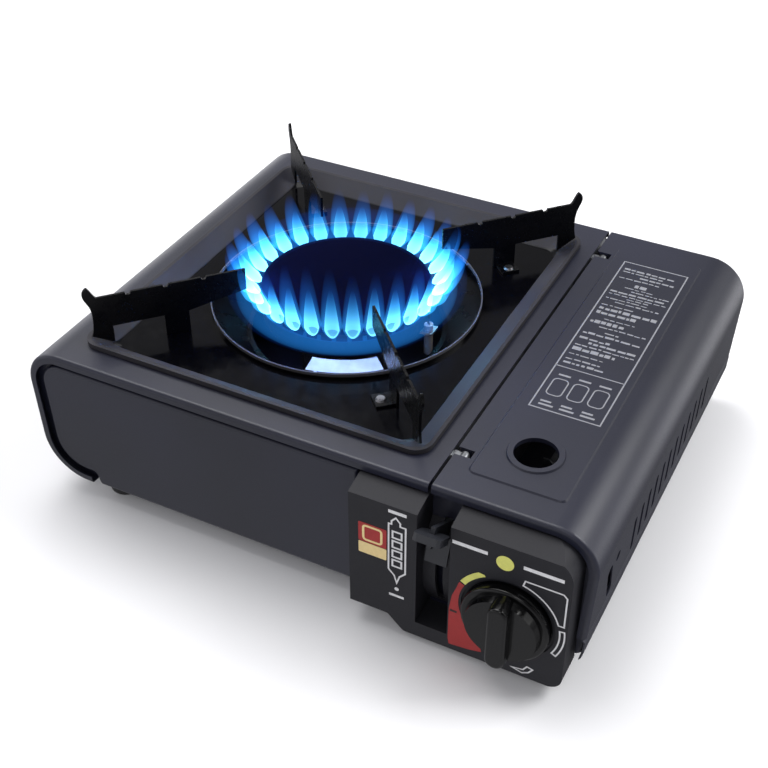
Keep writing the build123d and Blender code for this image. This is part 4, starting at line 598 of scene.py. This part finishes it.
OUTER_STOPS = (
    (0.0, (40, 150, 215), 0.5),
    (0.25, (44, 150, 215), 0.9),
    (0.55, (24, 96, 180), 0.45),
    (0.95, (8, 36, 110), 0.0),
)
INNER_STOPS = (
    (0.0, (130, 230, 245), 0.9),
    (0.3, (120, 220, 245), 0.85),
    (0.65, (60, 160, 220), 0.45),
    (0.97, (20, 90, 180), 0.0),
)
VEIL_STOPS = ((0.0, (20, 80, 190), 0.5), (0.5, (16, 50, 160), 0.28), (1.0, (10, 20, 90), 0.0))
BAND_STOPS = ((0.0, (34, 120, 200), 1.0), (1.0, (34, 120, 200), 1.0))
HAZE_STOPS = ((0.0, (14, 66, 150), 1.0), (1.0, (14, 66, 150), 1.0))
VEIL_PROFILE = ((0.004, 0.0), (0.005, 0.008), (0.004, 0.016), (0.001, 0.024), (-0.004, 0.032))
outer_glow = flame_look("flame_outer", OUTER_STOPS, 1.0, 0.1, 0.62)
inner_glow = flame_look("flame_inner", INNER_STOPS, 0.5, 1.0, 0.8)
veil_glow = flame_look("flame_veil", VEIL_STOPS, 1.0, 1.0, 0.34)
band_glow = flame_look("flame_band", BAND_STOPS, 1.0, 0.0, 0.3)
haze_glow = flame_look("flame_haze", HAZE_STOPS, 1.0, 0.0, 0.14)
tongues("flame_outer", outer_glow, out=0.019, rise=0.029, width=0.0066, blunt=3.0)
tongues("flame_inner", inner_glow, out=0.012, rise=0.020, width=0.0046, blunt=2.4)
veil("flame_veil", veil_glow, VEIL_PROFILE)
glow_ring("flame_band", band_glow, out=0.006, over=0.001, wide=0.0085, tall=0.006)
glow_ring("flame_haze", haze_glow, out=0.008, over=0.007, wide=0.012, tall=0.011)
bpy.context.scene.cycles.transparent_max_bounces = 48

LAMP_TURNS = range(-150, 31, 36)   # degrees, on the camera's side
LAMP_OUT = 0.006
LAMP_OVER = 0.014
for lamp_turn in LAMP_TURNS:
    lamp_data = bpy.data.lights.new("flame_light", "POINT")
    lamp_data.energy = 0.09
    lamp_data.color = (0.12, 0.3, 1.0)
    lamp_data.shadow_soft_size = 0.012
    lamp = bpy.data.objects.new("flame_light", lamp_data)
    lamp.visible_glossy = False
    a = math.radians(lamp_turn)
    lamp_way = Vector((math.cos(a), math.sin(a), 0))
    lamp.location = over_burner(PORT_Z + LAMP_OVER) + lamp_way * (PORT_RADIUS + LAMP_OUT)
    bpy.context.scene.collection.objects.link(lamp)


# ---------------------------------------------------------------- floor, light and camera

FLOOR = 6.0
floor_look = Look("floor", rough=0.6, base=(0.9, 0.9, 0.915, 1.0), level=0.2)
floor_mesh = bpy.data.meshes.new("floor")
floor_corners = [(-FLOOR, -FLOOR, 0), (FLOOR, -FLOOR, 0), (FLOOR, FLOOR, 0), (-FLOOR, FLOOR, 0)]
floor_mesh.from_pydata(floor_corners, [], [(0, 1, 2, 3)])
floor = link_piece("floor", floor_mesh, floor_look.material)
floor.visible_glossy = False       # gloss sees the sky's lower half, not the lit floor


class Sky:
    """The world's brightness, worked out from the direction looked in."""

    def __init__(self, world):
        world.use_nodes = True
        self.tree = world.node_tree
        self.light = self.tree.nodes["Background"]
        place = self.tree.nodes.new("ShaderNodeTexCoord").outputs["Generated"]
        split = self.tree.nodes.new("ShaderNodeSeparateXYZ")
        self.tree.links.new(place, split.inputs[0])
        self.x, self.y, self.z = split.outputs

    def span(self, source, low, high, start, end):
        """A number that runs from start to end while the source runs from low to high."""
        node = self.tree.nodes.new("ShaderNodeMapRange")
        self.tree.links.new(source, node.inputs[0])
        for index, value in enumerate((low, high, start, end), 1):
            node.inputs[index].default_value = value
        return node.outputs[0]

    def math(self, operation, a, b):
        node = self.tree.nodes.new("ShaderNodeMath")
        node.operation = operation
        self.tree.links.new(a, node.inputs[0])
        self.tree.links.new(b, node.inputs[1])
        return node.outputs[0]

    def heights(self, stops):
        """Brightness by height, through stops of (height, level)."""
        node = self.tree.nodes.new("ShaderNodeValToRGB")
        self.tree.links.new(self.z, node.inputs["Fac"])
        marks = node.color_ramp.elements
        marks.remove(marks[1])
        marks[0].position = stops[0][0]
        for place, _ in stops[1:]:
            marks.new(place)
        for mark, (_, level) in zip(marks, stops):
            mark.color = (level, level, level, 1.0)
        return node.outputs["Color"]


# A bright horizon under a darker dome, brighter at the left. Below it, gloss sees a pale field at the front and
# a bright one at the back.
DOME = ((0.0, 0.0), (0.02, 1.0), (0.22, 0.9), (0.36, 0.3), (0.8, 0.3), (0.95, 0.6))
world = bpy.data.worlds.new("studio")
sky = Sky(world)
dome = sky.math("MULTIPLY", sky.heights(DOME), sky.span(sky.x, -0.6, 0.4, 1.5, 0.45))
ahead = sky.math("MULTIPLY", sky.span(sky.y, 0.4, -0.2, 0.2, 0.54), sky.span(sky.z, 0.0, -0.02, 0.0, 1.0))
behind = sky.math("MULTIPLY", sky.span(sky.y, 0.3, 0.9, 0.0, 3.0), sky.span(sky.z, 0.0, -0.06, 0.0, 1.0))
behind = sky.math("MULTIPLY", behind, sky.span(sky.z, -0.5, -0.2, 0.0, 1.0))
brightness = sky.math("ADD", dome, sky.math("ADD", ahead, behind))
sky.tree.links.new(brightness, sky.light.inputs["Strength"])
sky.light.inputs["Color"].default_value = (1.0, 1.0, 1.04, 1.0)
bpy.context.scene.world = world

# name, place, size and power; each looks at the middle of the stove
LIGHTS = (
    ("top", (-0.7, 0.4, 1.9), (1.4, 1.4), 30.0),
    ("top_right", (1.3, 0.9, 1.5), (1.0, 1.0), 30.0),
    ("front", (0.5, -1.5, 1.6), (0.7, 0.7), 5.0),
    ("left", (-1.6, 0.3, 0.9), (1.0, 0.8), 4.0),
    ("right", (1.5, 0.6, 0.8), (1.0, 0.8), 3.0),
)
TARGET = Vector((0, 0, 0.05))
for name, place, size, power in LIGHTS:
    light_data = bpy.data.lights.new(name, "AREA")
    light_data.shape = "RECTANGLE"
    light_data.size, light_data.size_y = size
    light_data.energy = power
    light = bpy.data.objects.new(name, light_data)
    light.location = place
    light.rotation_euler = (TARGET - Vector(place)).to_track_quat("-Z", "Y").to_euler()
    bpy.context.scene.collection.objects.link(light)
bpy.context.scene.view_settings.view_transform = "Standard"

AZIMUTH = math.radians(26.97)      # from the front towards the right
ELEVATION = math.radians(37.94)
SENSOR = 36.0
FRAME_PIXELS = 768
FOCAL_PIXELS = 1303
camera_data = bpy.data.cameras.new("camera")
camera_data.sensor_width = SENSOR
camera_data.lens = FOCAL_PIXELS / FRAME_PIXELS * SENSOR
camera_data.clip_end = 50.0
camera = bpy.data.objects.new("camera", camera_data)
camera.location = (0.2728, -0.5457, 0.5263)
level_way = Vector((math.sin(AZIMUTH), -math.cos(AZIMUTH), 0))
back = level_way * math.cos(ELEVATION) + Vector((0, 0, math.sin(ELEVATION)))
camera.rotation_mode = "QUATERNION"
camera.rotation_quaternion = (-back).to_track_quat("-Z", "Y")
bpy.context.scene.collection.objects.link(camera)
bpy.context.scene.camera = camera
